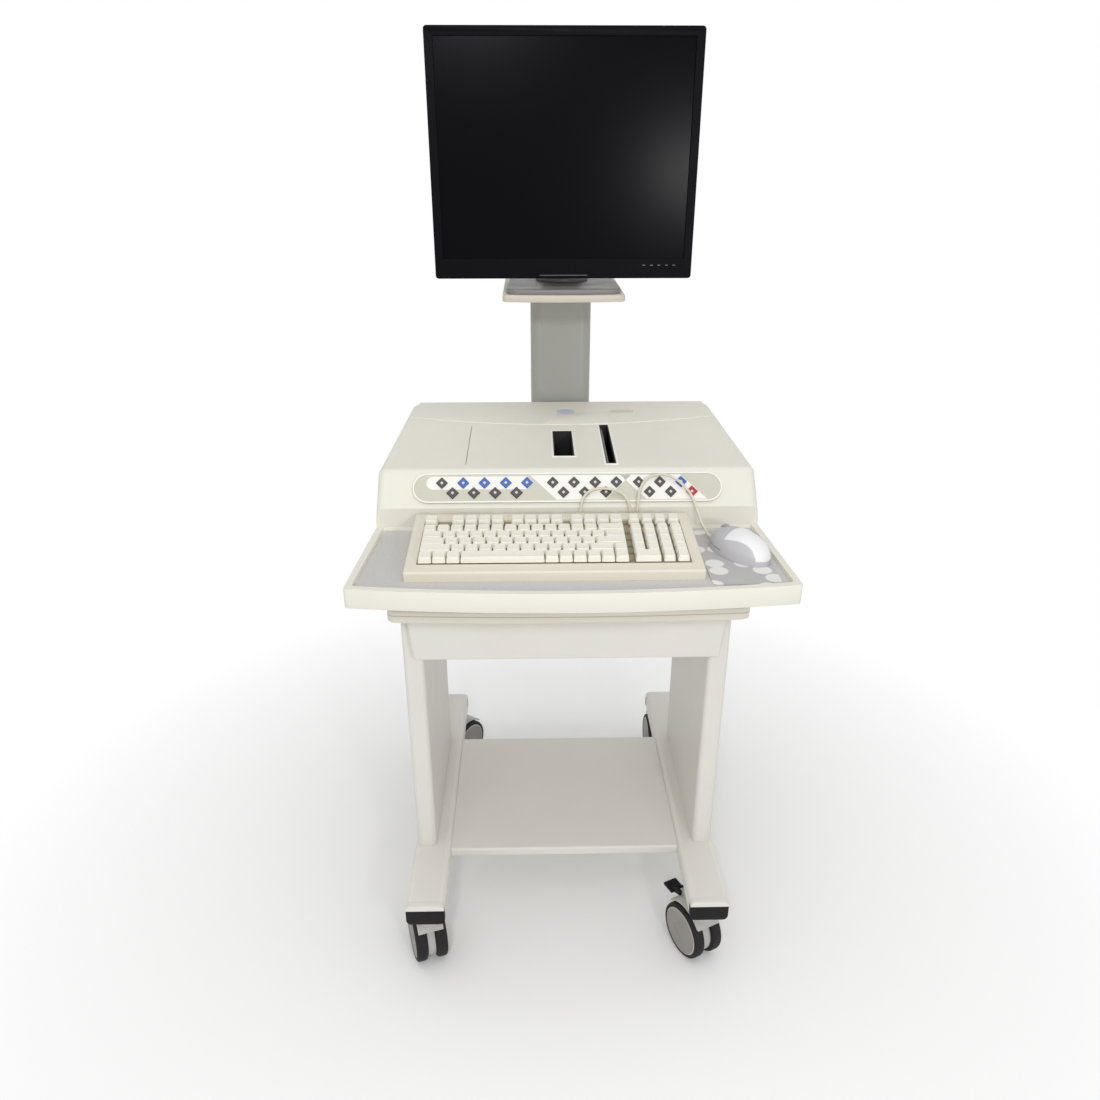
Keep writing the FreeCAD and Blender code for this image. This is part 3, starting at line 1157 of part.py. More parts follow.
half, tall = size("monitor_width") / 2, size("monitor_tall")
low, face = size("monitor_low"), size("monitor_front")
bezel_back = face + size("bezel_thick")
bezel = Part.makeBox(2 * half, size("bezel_thick"), tall, Vector(-half, face, low))
bezel = fillet_where(bezel, size("bezel_round"),
                     lambda edge: abs(edge.Vertexes[0].Point.y - edge.Vertexes[1].Point.y) > 1)
window_half = half - size("bezel_side")
window_low = low + size("bezel_chin")
window_tall = tall - size("bezel_chin") - size("bezel_side")
lap = size("screen_overlap")
window = Part.makeBox(2 * window_half, 3 * size("bezel_thick"), window_tall,
                      Vector(-window_half, face - size("bezel_thick"), window_low))
rebate = Part.makeBox(2 * (window_half + lap), size("bezel_thick"), window_tall + 2 * lap,
                      Vector(-window_half - lap, face + size("bezel_lip"), window_low - lap))
keep_shape("monitor_bezel", bezel.cut(window).cut(rebate))
screen = Part.makeBox(2 * (window_half + lap), size("screen_thick"), window_tall + 2 * lap,
                      Vector(-window_half - lap, face + size("bezel_lip"), window_low - lap))
keep_shape("lcd_panel", screen)


def back_form(inset, start, end):
    """The monitor's back draws in from the bezel to a smaller rear face."""
    shrink = size("back_shrink")
    rings = []
    for depth, drawn in ((start, inset), (end, inset + shrink)):
        side, bottom, top = half - drawn, low + drawn, low + tall - drawn
        points = [Vector(-side, depth, bottom), Vector(side, depth, bottom),
                  Vector(side, depth, top), Vector(-side, depth, top)]
        rings.append(Part.makePolygon(points + [points[0]]))
    return Part.makeLoft(rings, True, True)


back_end = bezel_back + size("back_depth")
back = back_form(0, bezel_back, back_end)
back = fillet_where(back, 2 * size("bezel_round"), lambda edge: edge.BoundBox.YMax > bezel_back + 1)
back = back.cut(back_form(size("back_wall"), bezel_back - 0.01, back_end - size("back_wall")))
ear_low = size("hinge_level") - size("ear_half")
for sign in (-1, 1):
    ear_middle = sign * (size("hinge_block") / 2 + size("sliding_gap") + size("ear_width") / 2)
    ear_start = back_end - size("back_wall") / 2
    ear = Part.makeBox(size("ear_width"), size("hinge_depth") + size("ear_behind") - ear_start,
                       2 * size("ear_half"),
                       Vector(ear_middle - size("ear_width") / 2, ear_start, ear_low))
    back = back.fuse(ear)
bore = Part.makeCylinder(size("hinge_pin") / 2 + size("sliding_gap") / 2, 6 * size("ear_width"),
                         Vector(-3 * size("ear_width"), size("hinge_depth"), size("hinge_level")),
                         Vector(1, 0, 0))
back = back.cut(bore)
vents = int(size("vent_count"))
for index in range(vents):
    across = (index - (vents - 1) / 2) * size("vent_pitch")
    vent = Part.makeBox(size("vent_width"), 3 * size("back_wall"), size("vent_tall"),
                        Vector(across - size("vent_width") / 2, back_end - 2 * size("back_wall"),
                               low + tall - size("back_shrink") - size("vent_margin") - size("vent_tall")))
    back = back.cut(vent)
keep_shape("monitor_back", back.removeSplitter())


# Casters: swivel fork, twin wheels on one axle, brake pedals in front
def caster_fork(with_lug):
    """Stem, swivel boss, round fairing and fender, with the stem on the Z axis and the trail along +Y."""
    top = size("rail_top") - size("rail_height")
    trail, hub = size("caster_trail"), size("wheel_radius")
    fender_inner = size("wheel_radius") + size("fender_gap")
    fender_outer = fender_inner + size("fender_thick")
    boss_low = hub + fender_outer
    boss_half = size("boss_size") / 2
    lap = size("fender_thick")
    across = Vector(1, 0, 0)
    boss = Part.makeCylinder(boss_half, top - size("sliding_gap") - boss_low + lap,
                             Vector(0, 0, boss_low - lap))
    stem = Part.makeCylinder(size("stem_size") / 2, size("stem_reach") + lap, Vector(0, 0, top - lap))
    web = prism_x([(-boss_half + lap, boss_low), (boss_half, boss_low), (trail, hub),
                   (trail - boss_half, hub)], size("web_thick") / 2)
    fairing = Part.makeCylinder(size("fairing_radius"), size("fairing_thick"),
                                Vector(-size("fairing_thick") / 2, trail, hub), across)
    start = Vector(-size("fender_half"), trail, hub)
    fender = Part.makeCylinder(fender_outer, 2 * size("fender_half"), start, across)
    fender = fender.cut(Part.makeCylinder(fender_inner, 2 * size("fender_half"), start, across))
    fender = fender.common(Part.makeBox(2 * fender_outer, 2 * fender_outer, fender_outer,
                                        Vector(-fender_outer, trail - fender_outer, size("fender_level"))))
    fork = boss.fuse(stem).fuse(web).fuse(fairing).fuse(fender)
    if with_lug:
        pivot, level, round_end = size("pedal_pivot"), size("pedal_level"), size("pedal_boss")
        lug = prism_x([(boss_half / 2, boss_low), (trail, boss_low + round_end), (pivot, level + round_end),
                       (pivot + round_end, level), (pivot, level - round_end),
                       (pivot - 2 * round_end, level - round_end)], size("lug_thick") / 2)
        pin_room = Part.makeCylinder((size("pedal_pin") + size("sliding_gap")) / 2, 2 * size("lug_thick"),
                                     Vector(-size("lug_thick"), pivot, level), across)
        fork = fork.fuse(lug).cut(pin_room)
    axle_room = Part.makeCylinder((size("axle_size") + size("sliding_gap")) / 2, 2 * size("fairing_thick"),
                                  Vector(-size("fairing_thick"), trail, hub), across)
    return fork.cut(axle_room).removeSplitter()


def caster_wheels():
    """Two wheels with sunk discs and round-shouldered treads on one axle."""
    near = size("wheel_apart") / 2
    far = near + size("wheel_width")
    radius, disc, hub = size("wheel_radius"), size("disc_radius"), size("hub_radius")
    sunk, shoulder = size("disc_sunk"), size("tread_round")
    section = [(near, 0), (near, radius - shoulder), (near + shoulder, radius), (far - shoulder, radius),
               (far, radius - shoulder), (far, disc), (far - sunk, disc - sunk), (far - sunk, hub + sunk),
               (far, hub), (far, 0)]
    centre = Vector(0, size("caster_trail"), radius)
    across = Vector(1, 0, 0)
    wheel = polygon([centre + Vector(x, 0, r) for x, r in section]).revolve(centre, across, 360)
    other = wheel.mirror(centre, across)
    axle = Part.makeCylinder(size("axle_size") / 2, 2 * near, centre - across * near, across)
    return Part.makeCompound([wheel, other, axle])


def brake_pedal():
    """A tread plate on two cheeks that turn on the fork's lug."""
    pivot, level, round_end = size("pedal_pivot"), size("pedal_level"), size("pedal_boss")
    start, end, thick = size("pedal_start"), size("pedal_end"), size("pedal_thick")
    plate_high = level - size("pedal_drop")
    pedal = Part.makeBox(2 * size("pedal_half"), end - start, thick,
                         Vector(-size("pedal_half"), start, plate_high - thick))
    pedal = fillet_where(pedal, thick / 3, lambda edge: level_edge(edge, plate_high))
    cheek_near = size("lug_thick") / 2 + size("sliding_gap")
    cheek_half = size("pedal_cheek") / 2
    for sign in (-1, 1):
        cheek = prism_x([(pivot - round_end, level + round_end), (pivot + round_end, level + round_end),
                         (start + thick, plate_high), (start + thick / 2, plate_high - thick),
                         (pivot - round_end, level - round_end)], cheek_half)
        cheek.translate(Vector(sign * (cheek_near + cheek_half), 0, 0))
        pedal = pedal.fuse(cheek)
    pin_half = cheek_near + size("pedal_cheek")
    pin_shape = Part.makeCylinder(size("pedal_pin") / 2, 2 * pin_half, Vector(-pin_half, pivot, level),
                                  Vector(1, 0, 0))
    return pedal.fuse(pin_shape).removeSplitter()


caster_across = size("rail_inner") + size("rail_width") / 2
caster_along = size("rail_half") - size("caster_end")
for end, place in (("front", -1), ("rear", 1)):
    for side, sign in (("left", -1), ("right", 1)):
        name = f"{end}_{side}"
        rest = Placement(Vector(sign * caster_across, size("rail_middle") + place * caster_along, 0),
                         Rotation(Vector(0, 0, 1), size("turn_" + name)))
        keep_shape(name + "_caster_fork", caster_fork(end == "front"), rest)
        keep_shape(name + "_wheels", caster_wheels(), rest)
        if end == "front":
            keep_shape(name + "_brake_pedal", brake_pedal(), rest)

doc.recompute()
for item in doc.Objects:
    if "Invalid" in item.State or "Error" in item.State:
        raise RuntimeError(f"{item.Name} failed: {item.State}")
os.makedirs("parts", exist_ok=True)
for item in parts:
    if item.Shape.isNull() or not item.Shape.isValid():
        raise RuntimeError(f"{item.Label} has no valid shape")
for item in parts:
    item.Shape.exportStep(f"parts/{item.Label}.step")
    print(item.Label, len(item.Shape.Solids), round(item.Shape.Volume))
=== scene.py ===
"""Looks of the ECG workstation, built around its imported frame. Metres, +Z up, the keyboard faces -Y."""
import json
import math

import bmesh
import bpy
from mathutils import Matrix, Vector
from mathutils.bvhtree import BVHTree

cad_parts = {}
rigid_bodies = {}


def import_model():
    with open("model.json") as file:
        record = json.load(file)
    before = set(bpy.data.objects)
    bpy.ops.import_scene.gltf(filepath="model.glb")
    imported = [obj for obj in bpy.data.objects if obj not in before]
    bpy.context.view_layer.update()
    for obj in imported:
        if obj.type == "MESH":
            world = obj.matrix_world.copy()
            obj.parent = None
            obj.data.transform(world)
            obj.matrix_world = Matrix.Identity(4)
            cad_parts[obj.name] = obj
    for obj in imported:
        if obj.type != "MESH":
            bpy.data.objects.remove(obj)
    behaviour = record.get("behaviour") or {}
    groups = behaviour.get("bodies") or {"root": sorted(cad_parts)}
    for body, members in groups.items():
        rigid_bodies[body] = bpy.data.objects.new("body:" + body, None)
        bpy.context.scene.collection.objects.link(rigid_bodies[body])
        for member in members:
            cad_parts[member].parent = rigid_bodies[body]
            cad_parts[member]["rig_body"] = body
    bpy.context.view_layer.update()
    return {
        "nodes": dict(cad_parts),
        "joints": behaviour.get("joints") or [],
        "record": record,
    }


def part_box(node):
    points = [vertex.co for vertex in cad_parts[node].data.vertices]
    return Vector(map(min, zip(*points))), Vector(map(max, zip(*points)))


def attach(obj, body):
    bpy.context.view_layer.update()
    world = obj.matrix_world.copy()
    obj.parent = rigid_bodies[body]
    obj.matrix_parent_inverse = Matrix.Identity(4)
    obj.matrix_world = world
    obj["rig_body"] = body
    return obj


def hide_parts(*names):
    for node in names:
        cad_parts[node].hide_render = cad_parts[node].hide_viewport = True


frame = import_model()

MM = 0.001
CASTERS = [f"{end}_{side}" for end in ("front", "rear") for side in ("left", "right")]
nodes = frame["nodes"]
joints = {joint["name"]: joint for joint in frame["joints"]}
slot_of = {row["node"]: row["material_slot"] for row in frame["record"]["subparts"]}
body_of = {name: item["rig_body"] for name, item in nodes.items()}


# Materials: texture scales are repeats per metre, depths are metres
NOISE_LOW, NOISE_HIGH = 0.3, 0.7
DRIFT_SCALE = 5
SHEEN_SCALE = 38
SHEEN_SPREAD = 0.05
GRAIN_DEPTH = 0.4 * MM
SPECK_SPREAD = 0.06
SPECK_DEPTH = 0.6 * MM
PEBBLE_SCALE = 26
PEBBLE_INNER, PEBBLE_OUTER = 0.31, 0.36
WEAVE_SCALE = 420
WEAVE_DEPTH = 0.3 * MM
FILM_SCALE = 2600
FILM_DEPTH = 0.2 * MM
SPANGLE_SCALE = 160
WAVE_LONG = 110 * MM
WAVE_HIGH = 5 * MM
BORDER_HALF = 0.4 * MM


def linear(red, green, blue):
    """A display colour, 0 to 255, as the shader's linear values."""
    def channel(value):
        share = value / 255
        return share / 12.92 if share <= 0.04045 else ((share + 0.055) / 1.055) ** 2.4
    return (channel(red), channel(green), channel(blue), 1)


def scaled(colour, factor):
    return tuple(min(1, value * factor) for value in colour[:3]) + (1,)


class Paint:
    """A material whose node tree is grown one node at a time."""

    def __init__(self, name):
        self.material = bpy.data.materials.new(name)
        self.material.use_nodes = True
        self.tree = self.material.node_tree
        self.shader = self.tree.nodes["Principled BSDF"]
        self.place = self.add("ShaderNodeTexCoord").outputs["Object"]

    def add(self, kind, **values):
        node = self.tree.nodes.new(kind)
        for name, value in values.items():
            setattr(node, name, value)
        return node

    def link(self, source, target):
        self.tree.links.new(source, target)

    def noise(self, scale, detail=2, place=None):
        node = self.add("ShaderNodeTexNoise")
        node.inputs["Scale"].default_value = scale
        node.inputs["Detail"].default_value = detail
        self.link(place or self.place, node.inputs["Vector"])
        return node.outputs["Fac"]

    def ramp(self, source, *stops):
        """Colours at their positions, blended in between."""
        node = self.add("ShaderNodeValToRGB")
        items = node.color_ramp.elements
        while len(items) < len(stops):
            items.new(0.5)
        for item, (position, colour) in zip(items, stops):
            item.position = position
            item.color = colour
        self.link(source, node.inputs["Fac"])
        return node.outputs["Color"]

    def span(self, source, low, high):
        """A 0 to 1 value stretched between two numbers."""
        node = self.add("ShaderNodeMapRange")
        node.inputs["From Min"].default_value = NOISE_LOW
        node.inputs["From Max"].default_value = NOISE_HIGH
        node.inputs["To Min"].default_value = low
        node.inputs["To Max"].default_value = high
        self.link(source, node.inputs["Value"])
        return node.outputs["Result"]

    def math(self, operation, *values):
        node = self.add("ShaderNodeMath", operation=operation)
        for socket, value in zip(node.inputs, values):
            if isinstance(value, (int, float)):
                socket.default_value = value
            else:
                self.link(value, socket)
        return node.outputs["Value"]

    def mix(self, share, first, second):
        node = self.add("ShaderNodeMix", data_type="RGBA")
        for socket, value in ((node.inputs[0], share), (node.inputs[6], first), (node.inputs[7], second)):
            if isinstance(value, (int, float, tuple)):
                socket.default_value = value
            else:
                self.link(value, socket)
        return node.outputs[2]

    def along(self, direction, origin):
        """Distance from a point along a direction."""
        node = self.add("ShaderNodeVectorMath", operation="DOT_PRODUCT")
        node.inputs[1].default_value = direction
        self.link(self.place, node.inputs[0])
        return self.math("SUBTRACT", node.outputs["Value"], direction.dot(origin))

    def bump(self, height, strength, depth):
        node = self.add("ShaderNodeBump")
        node.inputs["Strength"].default_value = strength
        node.inputs["Distance"].default_value = depth
        self.link(height, node.inputs["Height"])
        self.link(node.outputs["Normal"], self.shader.inputs["Normal"])

    def set(self, **values):
        for name, value in values.items():
            self.shader.inputs[name.replace("_", " ")].default_value = value


def moulded(name, colour, rough=0.5, spread=0.035, grain=1500, depth=0.12, coat=0.0, gloss=0.5):
    """Moulded or painted surface: slow shade drift, fine grain and an uneven sheen."""
    paint = Paint(name)
    drift = paint.noise(DRIFT_SCALE, 3)
    shade = paint.ramp(drift, (0.25, scaled(colour, 1 - spread)), (0.75, scaled(colour, 1 + spread)))
    paint.link(shade, paint.shader.inputs["Base Color"])
    sheen = paint.span(paint.noise(SHEEN_SCALE, 3), rough - SHEEN_SPREAD, rough + SHEEN_SPREAD)
    paint.link(sheen, paint.shader.inputs["Roughness"])
    paint.bump(paint.noise(grain, 2), depth, GRAIN_DEPTH)
    paint.set(Coat_Weight=coat, Specular_IOR_Level=gloss)
    return paint.material


def speckled(name, colour, speck, rough, scale):
    """Rubber or mat with a pebbled skin and scattered specks."""
    paint = Paint(name)
    dots = paint.noise(scale, 4)
    shade = paint.ramp(dots, (0.36, scaled(colour, 0.9)), (0.55, colour), (0.7, speck))
    paint.link(shade, paint.shader.inputs["Base Color"])
    sheen = paint.span(dots, rough - SPECK_SPREAD, rough + SPECK_SPREAD)
    paint.link(sheen, paint.shader.inputs["Roughness"])
    paint.bump(dots, 0.35, SPECK_DEPTH)
    paint.set(Specular_IOR_Level=0.25)
    return paint.material


def printed_cloth(name, ground, figure):
    """Pad cloth: a fine weave under a print of pale round pebbles."""
    paint = Paint(name)
    pebbles = paint.add("ShaderNodeTexVoronoi", feature="F1", voronoi_dimensions="2D")
    pebbles.inputs["Scale"].default_value = PEBBLE_SCALE
    pebbles.inputs["Randomness"].default_value = 0.85
    paint.link(paint.place, pebbles.inputs["Vector"])
    inside = paint.ramp(pebbles.outputs["Distance"], (PEBBLE_INNER, (1, 1, 1, 1)),
                        (PEBBLE_OUTER, (0, 0, 0, 1)))
    tint = paint.mix(inside, ground, figure)
    weave = [paint.add("ShaderNodeTexWave", bands_direction=axis) for axis in "XY"]
    for wave in weave:
        wave.inputs["Scale"].default_value = WEAVE_SCALE
        paint.link(paint.place, wave.inputs["Vector"])
    threads = paint.math("MULTIPLY", weave[0].outputs["Fac"], weave[1].outputs["Fac"])
    shade = paint.mix(paint.span(threads, 0.0, 0.12), tint, scaled(ground, 0.6))
    paint.link(shade, paint.shader.inputs["Base Color"])
    paint.bump(threads, 0.3, WEAVE_DEPTH)
    paint.set(Roughness=0.85, Sheen_Weight=0.15)
    return paint.material


def screen_glass(name, colour):
    """Matt screen face: near black, with the sparkle of an anti-glare film."""
    paint = Paint(name)
    film = paint.noise(FILM_SCALE, 2)
    shade = paint.ramp(paint.noise(3.0, 2), (0.3, colour), (0.7, scaled(colour, 1.35)))
    paint.link(shade, paint.shader.inputs["Base Color"])
    paint.link(paint.span(film, 0.19, 0.25), paint.shader.inputs["Roughness"])
    paint.bump(film, 0.04, FILM_DEPTH)
    paint.set(Specular_IOR_Level=0.05)
    return paint.material


def mottled_metal(name, colour, rough):
    """Zinc-plated sheet with a faint spangle."""
    paint = Paint(name)
    spangle = paint.add("ShaderNodeTexVoronoi", feature="F1")
    spangle.inputs["Scale"].default_value = SPANGLE_SCALE
    paint.link(paint.place, spangle.inputs["Vector"])
    shade = paint.ramp(spangle.outputs["Distance"], (0.0, scaled(colour, 0.85)), (0.8, scaled(colour, 1.1)))
    paint.link(shade, paint.shader.inputs["Base Color"])
    paint.link(paint.span(paint.noise(60, 3), rough - 0.08, rough + 0.08), paint.shader.inputs["Roughness"])
    paint.set(Metallic=1.0)
    return paint.material


def two_tone(name, light, dark, middle, ahead, aside):
    """Two mouldings that meet on an S-shaped line along the piece."""
    paint = Paint(name)
    wave = paint.math("SINE", paint.math("MULTIPLY", paint.along(ahead, middle), 2 * math.pi / WAVE_LONG))
    offset = paint.math("ADD", paint.along(aside, middle), paint.math("MULTIPLY", wave, WAVE_HIGH))
    share = paint.add("ShaderNodeMapRange")
    share.inputs["From Min"].default_value = -BORDER_HALF
    share.inputs["From Max"].default_value = BORDER_HALF
    paint.link(offset, share.inputs["Value"])
    paint.link(paint.mix(share.outputs["Result"], dark, light), paint.shader.inputs["Base Color"])
    paint.link(paint.span(paint.noise(SHEEN_SCALE, 3), 0.3, 0.42), paint.shader.inputs["Roughness"])
    return paint.material


IVORY = linear(226, 223, 212)
OFF_WHITE = linear(225, 222, 215)
CREAM = linear(221, 216, 200)
MARK = linear(208, 206, 203)
MOUSE_WHITE = linear(232, 232, 233)
MOUSE_GREY = linear(188, 187, 191)
looks = {
    "trolley_paint": moulded("trolley_paint", OFF_WHITE, 0.42, 0.025, 420, 0.10),
    "board_laminate": moulded("board_laminate", linear(224, 219, 207), 0.40, 0.03, 700, 0.06),
    "zinc_steel": mottled_metal("zinc_steel", linear(172, 174, 176), 0.4),
    "console_ivory": moulded("console_ivory", IVORY, 0.52, 0.03, 1500, 0.14),
    "tray_grey": speckled("tray_grey", linear(200, 198, 195), linear(207, 205, 202), 0.7, 900),
    "pad_print": printed_cloth("pad_print", linear(183, 180, 180), linear(230, 229, 226)),
    "panel_olive": moulded("panel_olive", linear(198, 196, 181), 0.38, 0.02, 1100, 0.06),
    "circuit_board": moulded("circuit_board", linear(38, 92, 58), 0.4, 0.12, 300, 0.10),
    "black_plastic": moulded("black_plastic", linear(20, 19, 22), 0.5, 0.12, 1300, 0.14, gloss=0.2),
    "inner_grey": moulded("inner_grey", linear(150, 150, 148), 0.5, 0.05, 500, 0.1),
    "key_dark": moulded("key_dark", linear(62, 55, 55), 0.34, 0.06, 1200, 0.05, 0.15),
    "key_blue": moulded("key_blue", linear(48, 92, 170), 0.32, 0.06, 1200, 0.05, 0.15),
    "key_red": moulded("key_red", linear(168, 22, 40), 0.32, 0.06, 1200, 0.05, 0.15),
    "keyboard_cream": moulded("keyboard_cream", CREAM, 0.5, 0.03, 1600, 0.12),
    "mouse_white": moulded("mouse_white", MOUSE_WHITE, 0.3, 0.02, 900, 0.03, 0.1),
    "mouse_grey": moulded("mouse_grey", MOUSE_GREY, 0.4, 0.03, 1300, 0.06),
    "wheel_grey_rubber": speckled("wheel_grey_rubber", linear(168, 168, 172), linear(178, 178, 182),
                                  0.7, 1500),
    "cord_cream": moulded("cord_cream", linear(212, 206, 188), 0.45, 0.03, 900, 0.05),
    "column_grey": moulded("column_grey", linear(163, 164, 159), 0.4, 0.04, 600, 0.08),
    "foot_grey": moulded("foot_grey", linear(126, 123, 122), 0.42, 0.06, 1200, 0.12),
    "monitor_black": moulded("monitor_black", linear(11, 10, 15), 0.4, 0.15, 1700, 0.10, gloss=0.05),
    "screen_glass": screen_glass("screen_glass", linear(5, 5, 9)),
    "caster_grey": moulded("caster_grey", linear(184, 183, 179), 0.42, 0.05, 1000, 0.10),
    "caster_wheel": speckled("caster_wheel", linear(34, 32, 33), linear(46, 44, 45), 0.65, 1100),
}
key_mark = moulded("key_mark", MARK, 0.4, 0.02, 900, 0.03)
print_white = moulded("print_white", linear(235, 234, 228), 0.4, 0.015, 900, 0.03)
disc_grey = moulded("disc_grey", linear(146, 141, 136), 0.45, 0.05, 900, 0.12)
disc_ring = moulded("disc_ring", linear(196, 192, 185), 0.4, 0.03, 900, 0.06)
# Pale frames round the dock and the slot; on the control panel's rim this paleness is a painted highlight
pale_frame_and_rim_highlight = moulded("pale_frame_and_rim_highlight", linear(240, 239, 233), 0.42, 0.02, 1200, 0.06)
blank_grey = moulded("blank_grey", linear(203, 200, 186), 0.4, 0.02, 1200, 0.05)
blank_blue = moulded("blank_blue", linear(190, 198, 212), 0.35, 0.02, 1200, 0.04)
dim_grey = moulded("dim_grey", linear(98, 98, 102), 0.35, 0.06, 800, 0.06)
cap_white = moulded("cap_white", linear(234, 231, 219), 0.48, 0.02, 1600, 0.08)
# Painted shade: the key bed's dark brown stands for the shade between the keycaps
key_bed_painted_shade = moulded("key_bed_painted_shade", linear(155, 145, 120), 0.6, 0.06, 700, 0.10)
platform_beige = moulded("platform_beige", linear(205, 197, 184), 0.45, 0.03, 900, 0.08)
board_seam = moulded("board_seam", linear(188, 180, 164), 0.45, 0.03, 700, 0.05)
# Painted shade: a darker strip that stands for the shade in the cover's groove
groove_painted_shade = moulded("groove_painted_shade", linear(168, 165, 156), 0.5, 0.03, 900, 0.05)
for name, item in nodes.items():
    item.data.materials.clear()
    item.data.materials.append(looks[slot_of[name]])


# Pieces: faces over this many square metres stay flat, edges are sharp or welded by these limits
LARGE_FACE = 0.006
SMOOTH_ANGLE = math.radians(34)
SHARP_ANGLE = math.radians(38)
FLAT_ANGLE = math.radians(0.8)
WELD_REACH = 0.001 * MM
ABOVE_ALL = 2


def make_piece(name, form, body, slot, *materials):
    """Turn a bmesh into a piece that rides on a body. Its large faces are flat, the rest is smooth."""
    bmesh.ops.recalc_face_normals(form, faces=form.faces)
    mesh = bpy.data.meshes.new(name)
    form.to_mesh(mesh)
    form.free()
    stored = mesh.attributes.get("custom_normal")
    if stored:
        mesh.attributes.remove(stored)
    mesh.shade_smooth()
    mesh.set_sharp_from_angle(angle=SMOOTH_ANGLE)
    for polygon in mesh.polygons:
        polygon.use_smooth = polygon.area < LARGE_FACE
    for material in materials:
        mesh.materials.append(material)
    piece = bpy.data.objects.new(name, mesh)
    bpy.context.scene.collection.objects.link(piece)
    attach(piece, body)
    return piece


def welded(node):
    """A node's mesh as a bmesh, with the points of its seams joined."""
    form = bmesh.new()
    form.from_mesh(nodes[node].data)
    bmesh.ops.remove_doubles(form, verts=form.verts, dist=WELD_REACH)
    return form


def node_form(node):
    """A node's welded mesh with its flat faces whole again."""
    form = welded(node)
    bmesh.ops.dissolve_limit(form, angle_limit=FLAT_ANGLE, verts=form.verts, edges=form.edges)
    return form


def sharp_edges(form):
    return [edge for edge in form.edges
            if len(edge.link_faces) == 2 and edge.calc_face_angle() > SHARP_ANGLE]


def ease(form, edges, width):
    bmesh.ops.bevel(form, geom=edges, offset=width * MM, segments=2, profile=0.5, affect="EDGES",
                    clamp_overlap=True)


def eased(node, width):
    """A node's form with its sharp edges rounded as moulding and folding leave them."""
    form = node_form(node)
    ease(form, sharp_edges(form), width)
    return form


def replace_node(node, ending, form, *materials):
    """A piece that takes a node's place, on its body."""
    piece = make_piece(f"{node}_{ending}", form, body_of[node], slot_of[node], *materials)
    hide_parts(node)


def stand_for(node, form, *extras):
    """A skin in a node's place, in its slot's look and any extra ones."""
    replace_node(node, "skin", form, looks[slot_of[node]], *extras)


def split_level(form, height):
    """Cut a form's faces along a level, so that they can be painted apart."""
    bmesh.ops.bisect_plane(form, geom=form.verts[:] + form.edges[:] + form.faces[:],
                           plane_co=(0, 0, height), plane_no=(0, 0, 1))


def surface_at(node, x, y):
    """A frame on the upper face of a node at a place in plan, with Z along the face's normal."""
    form = node_form(node)
    point, normal = BVHTree.FromBMesh(form).ray_cast(Vector((x, y, ABOVE_ALL)), Vector((0, 0, -1)))[:2]
    form.free()
    return Matrix.Translation(point) @ Matrix.Rotation(math.atan2(-normal.y, normal.z), 4, "X")


def islands(node):
    """The points of each separate solid of a node."""
    form = welded(node)
    seen = set()
    groups = []
    for start in form.verts:
        if start in seen:
            continue
        seen.add(start)
        grown = [start]
        group = []
        while grown:
            vert = grown.pop()
            group.append(vert.co.copy())
            for edge in vert.link_edges:
                other = edge.other_vert(vert)
                if other not in seen:
                    seen.add(other)
                    grown.append(other)
        groups.append(group)
    form.free()
    return groups


def extent(points):
    low = Vector([min(point[axis] for point in points) for axis in range(3)])
    high = Vector([max(point[axis] for point in points) for axis in range(3)])
    return low, high


def rounded_ring(half_x, half_y, radius, steps):
    """Points of a rectangle with round corners, counter-clockwise."""
    points = []
    for turn, (sign_x, sign_y) in enumerate(((1, 1), (-1, 1), (-1, -1), (1, -1))):
        for step in range(steps + 1):
            angle = math.pi / 2 * (turn + step / steps)
            points.append((sign_x * (half_x - radius) + radius * math.cos(angle),
                           sign_y * (half_y - radius) + radius * math.sin(angle)))
    return points


def stack(form, place, levels, material=0, steps=4):
    """A closed skin through rounded rectangles (half x, half y, corner radius, height)."""
    rings = [[form.verts.new(place @ Vector((x, y, height)))
              for x, y in rounded_ring(half_x, half_y, radius, steps)]
             for half_x, half_y, radius, height in levels]
    count = len(rings[0])
    faces = [form.faces.new(rings[0][::-1]), form.faces.new(rings[-1])]
    for lower, upper in zip(rings, rings[1:]):
        for index in range(count):
            after = (index + 1) % count
            faces.append(form.faces.new((lower[index], lower[after], upper[after], upper[index])))
    for face in faces:
        face.material_index = material


def slab(form, place, half_x, half_y, corner, low, high, material=0):
    """A plain bar with round corners between two heights."""
    stack(form, place, [(half_x, half_y, corner, low), (half_x, half_y, corner, high)], material)


def turned(form, place, profile, steps=48):
    """A closed profile of (along, radius, material) turned about the local X axis."""
    rings = []
    for step in range(steps):
        angle = 2 * math.pi * step / steps
        around = Vector((0, math.cos(angle), math.sin(angle)))
        rings.append([form.verts.new(place @ (Vector((along, 0, 0)) + radius * around))
                      for along, radius, material in profile])
    for step in range(steps):
        here, after = rings[step], rings[(step + 1) % steps]
        for index in range(len(profile)):
            following = (index + 1) % len(profile)
            face = form.faces.new((here[index], here[following], after[following], after[index]))
            face.material_index = profile[index][2]


# Cords
MOUSE_ROUTE = [(0.2059, -0.2056, 0.793), (0.2, -0.192, 0.799), (0.194, -0.177, 0.814),
               (0.186, -0.1618, 0.8376), (0.176, -0.1525, 0.8494), (0.161, -0.1436, 0.8615),
               (0.139, -0.1395, 0.8671), (0.117, -0.1436, 0.8615), (0.107, -0.1543, 0.847),
               (0.104, -0.1654, 0.8328), (0.103, -0.167, 0.813), (0.103, -0.167, 0.792)]
KEYBOARD_ROUTE = [(0.018, -0.1685, 0.816), (0.02, -0.1654, 0.8328), (0.027, -0.1573, 0.843),
                  (0.041, -0.1531, 0.8486), (0.06, -0.1531, 0.8486), (0.078, -0.1561, 0.8446),
                  (0.089, -0.1636, 0.8352), (0.094, -0.167, 0.814), (0.094, -0.167, 0.792)]
CORD_SIZE = 4 * MM


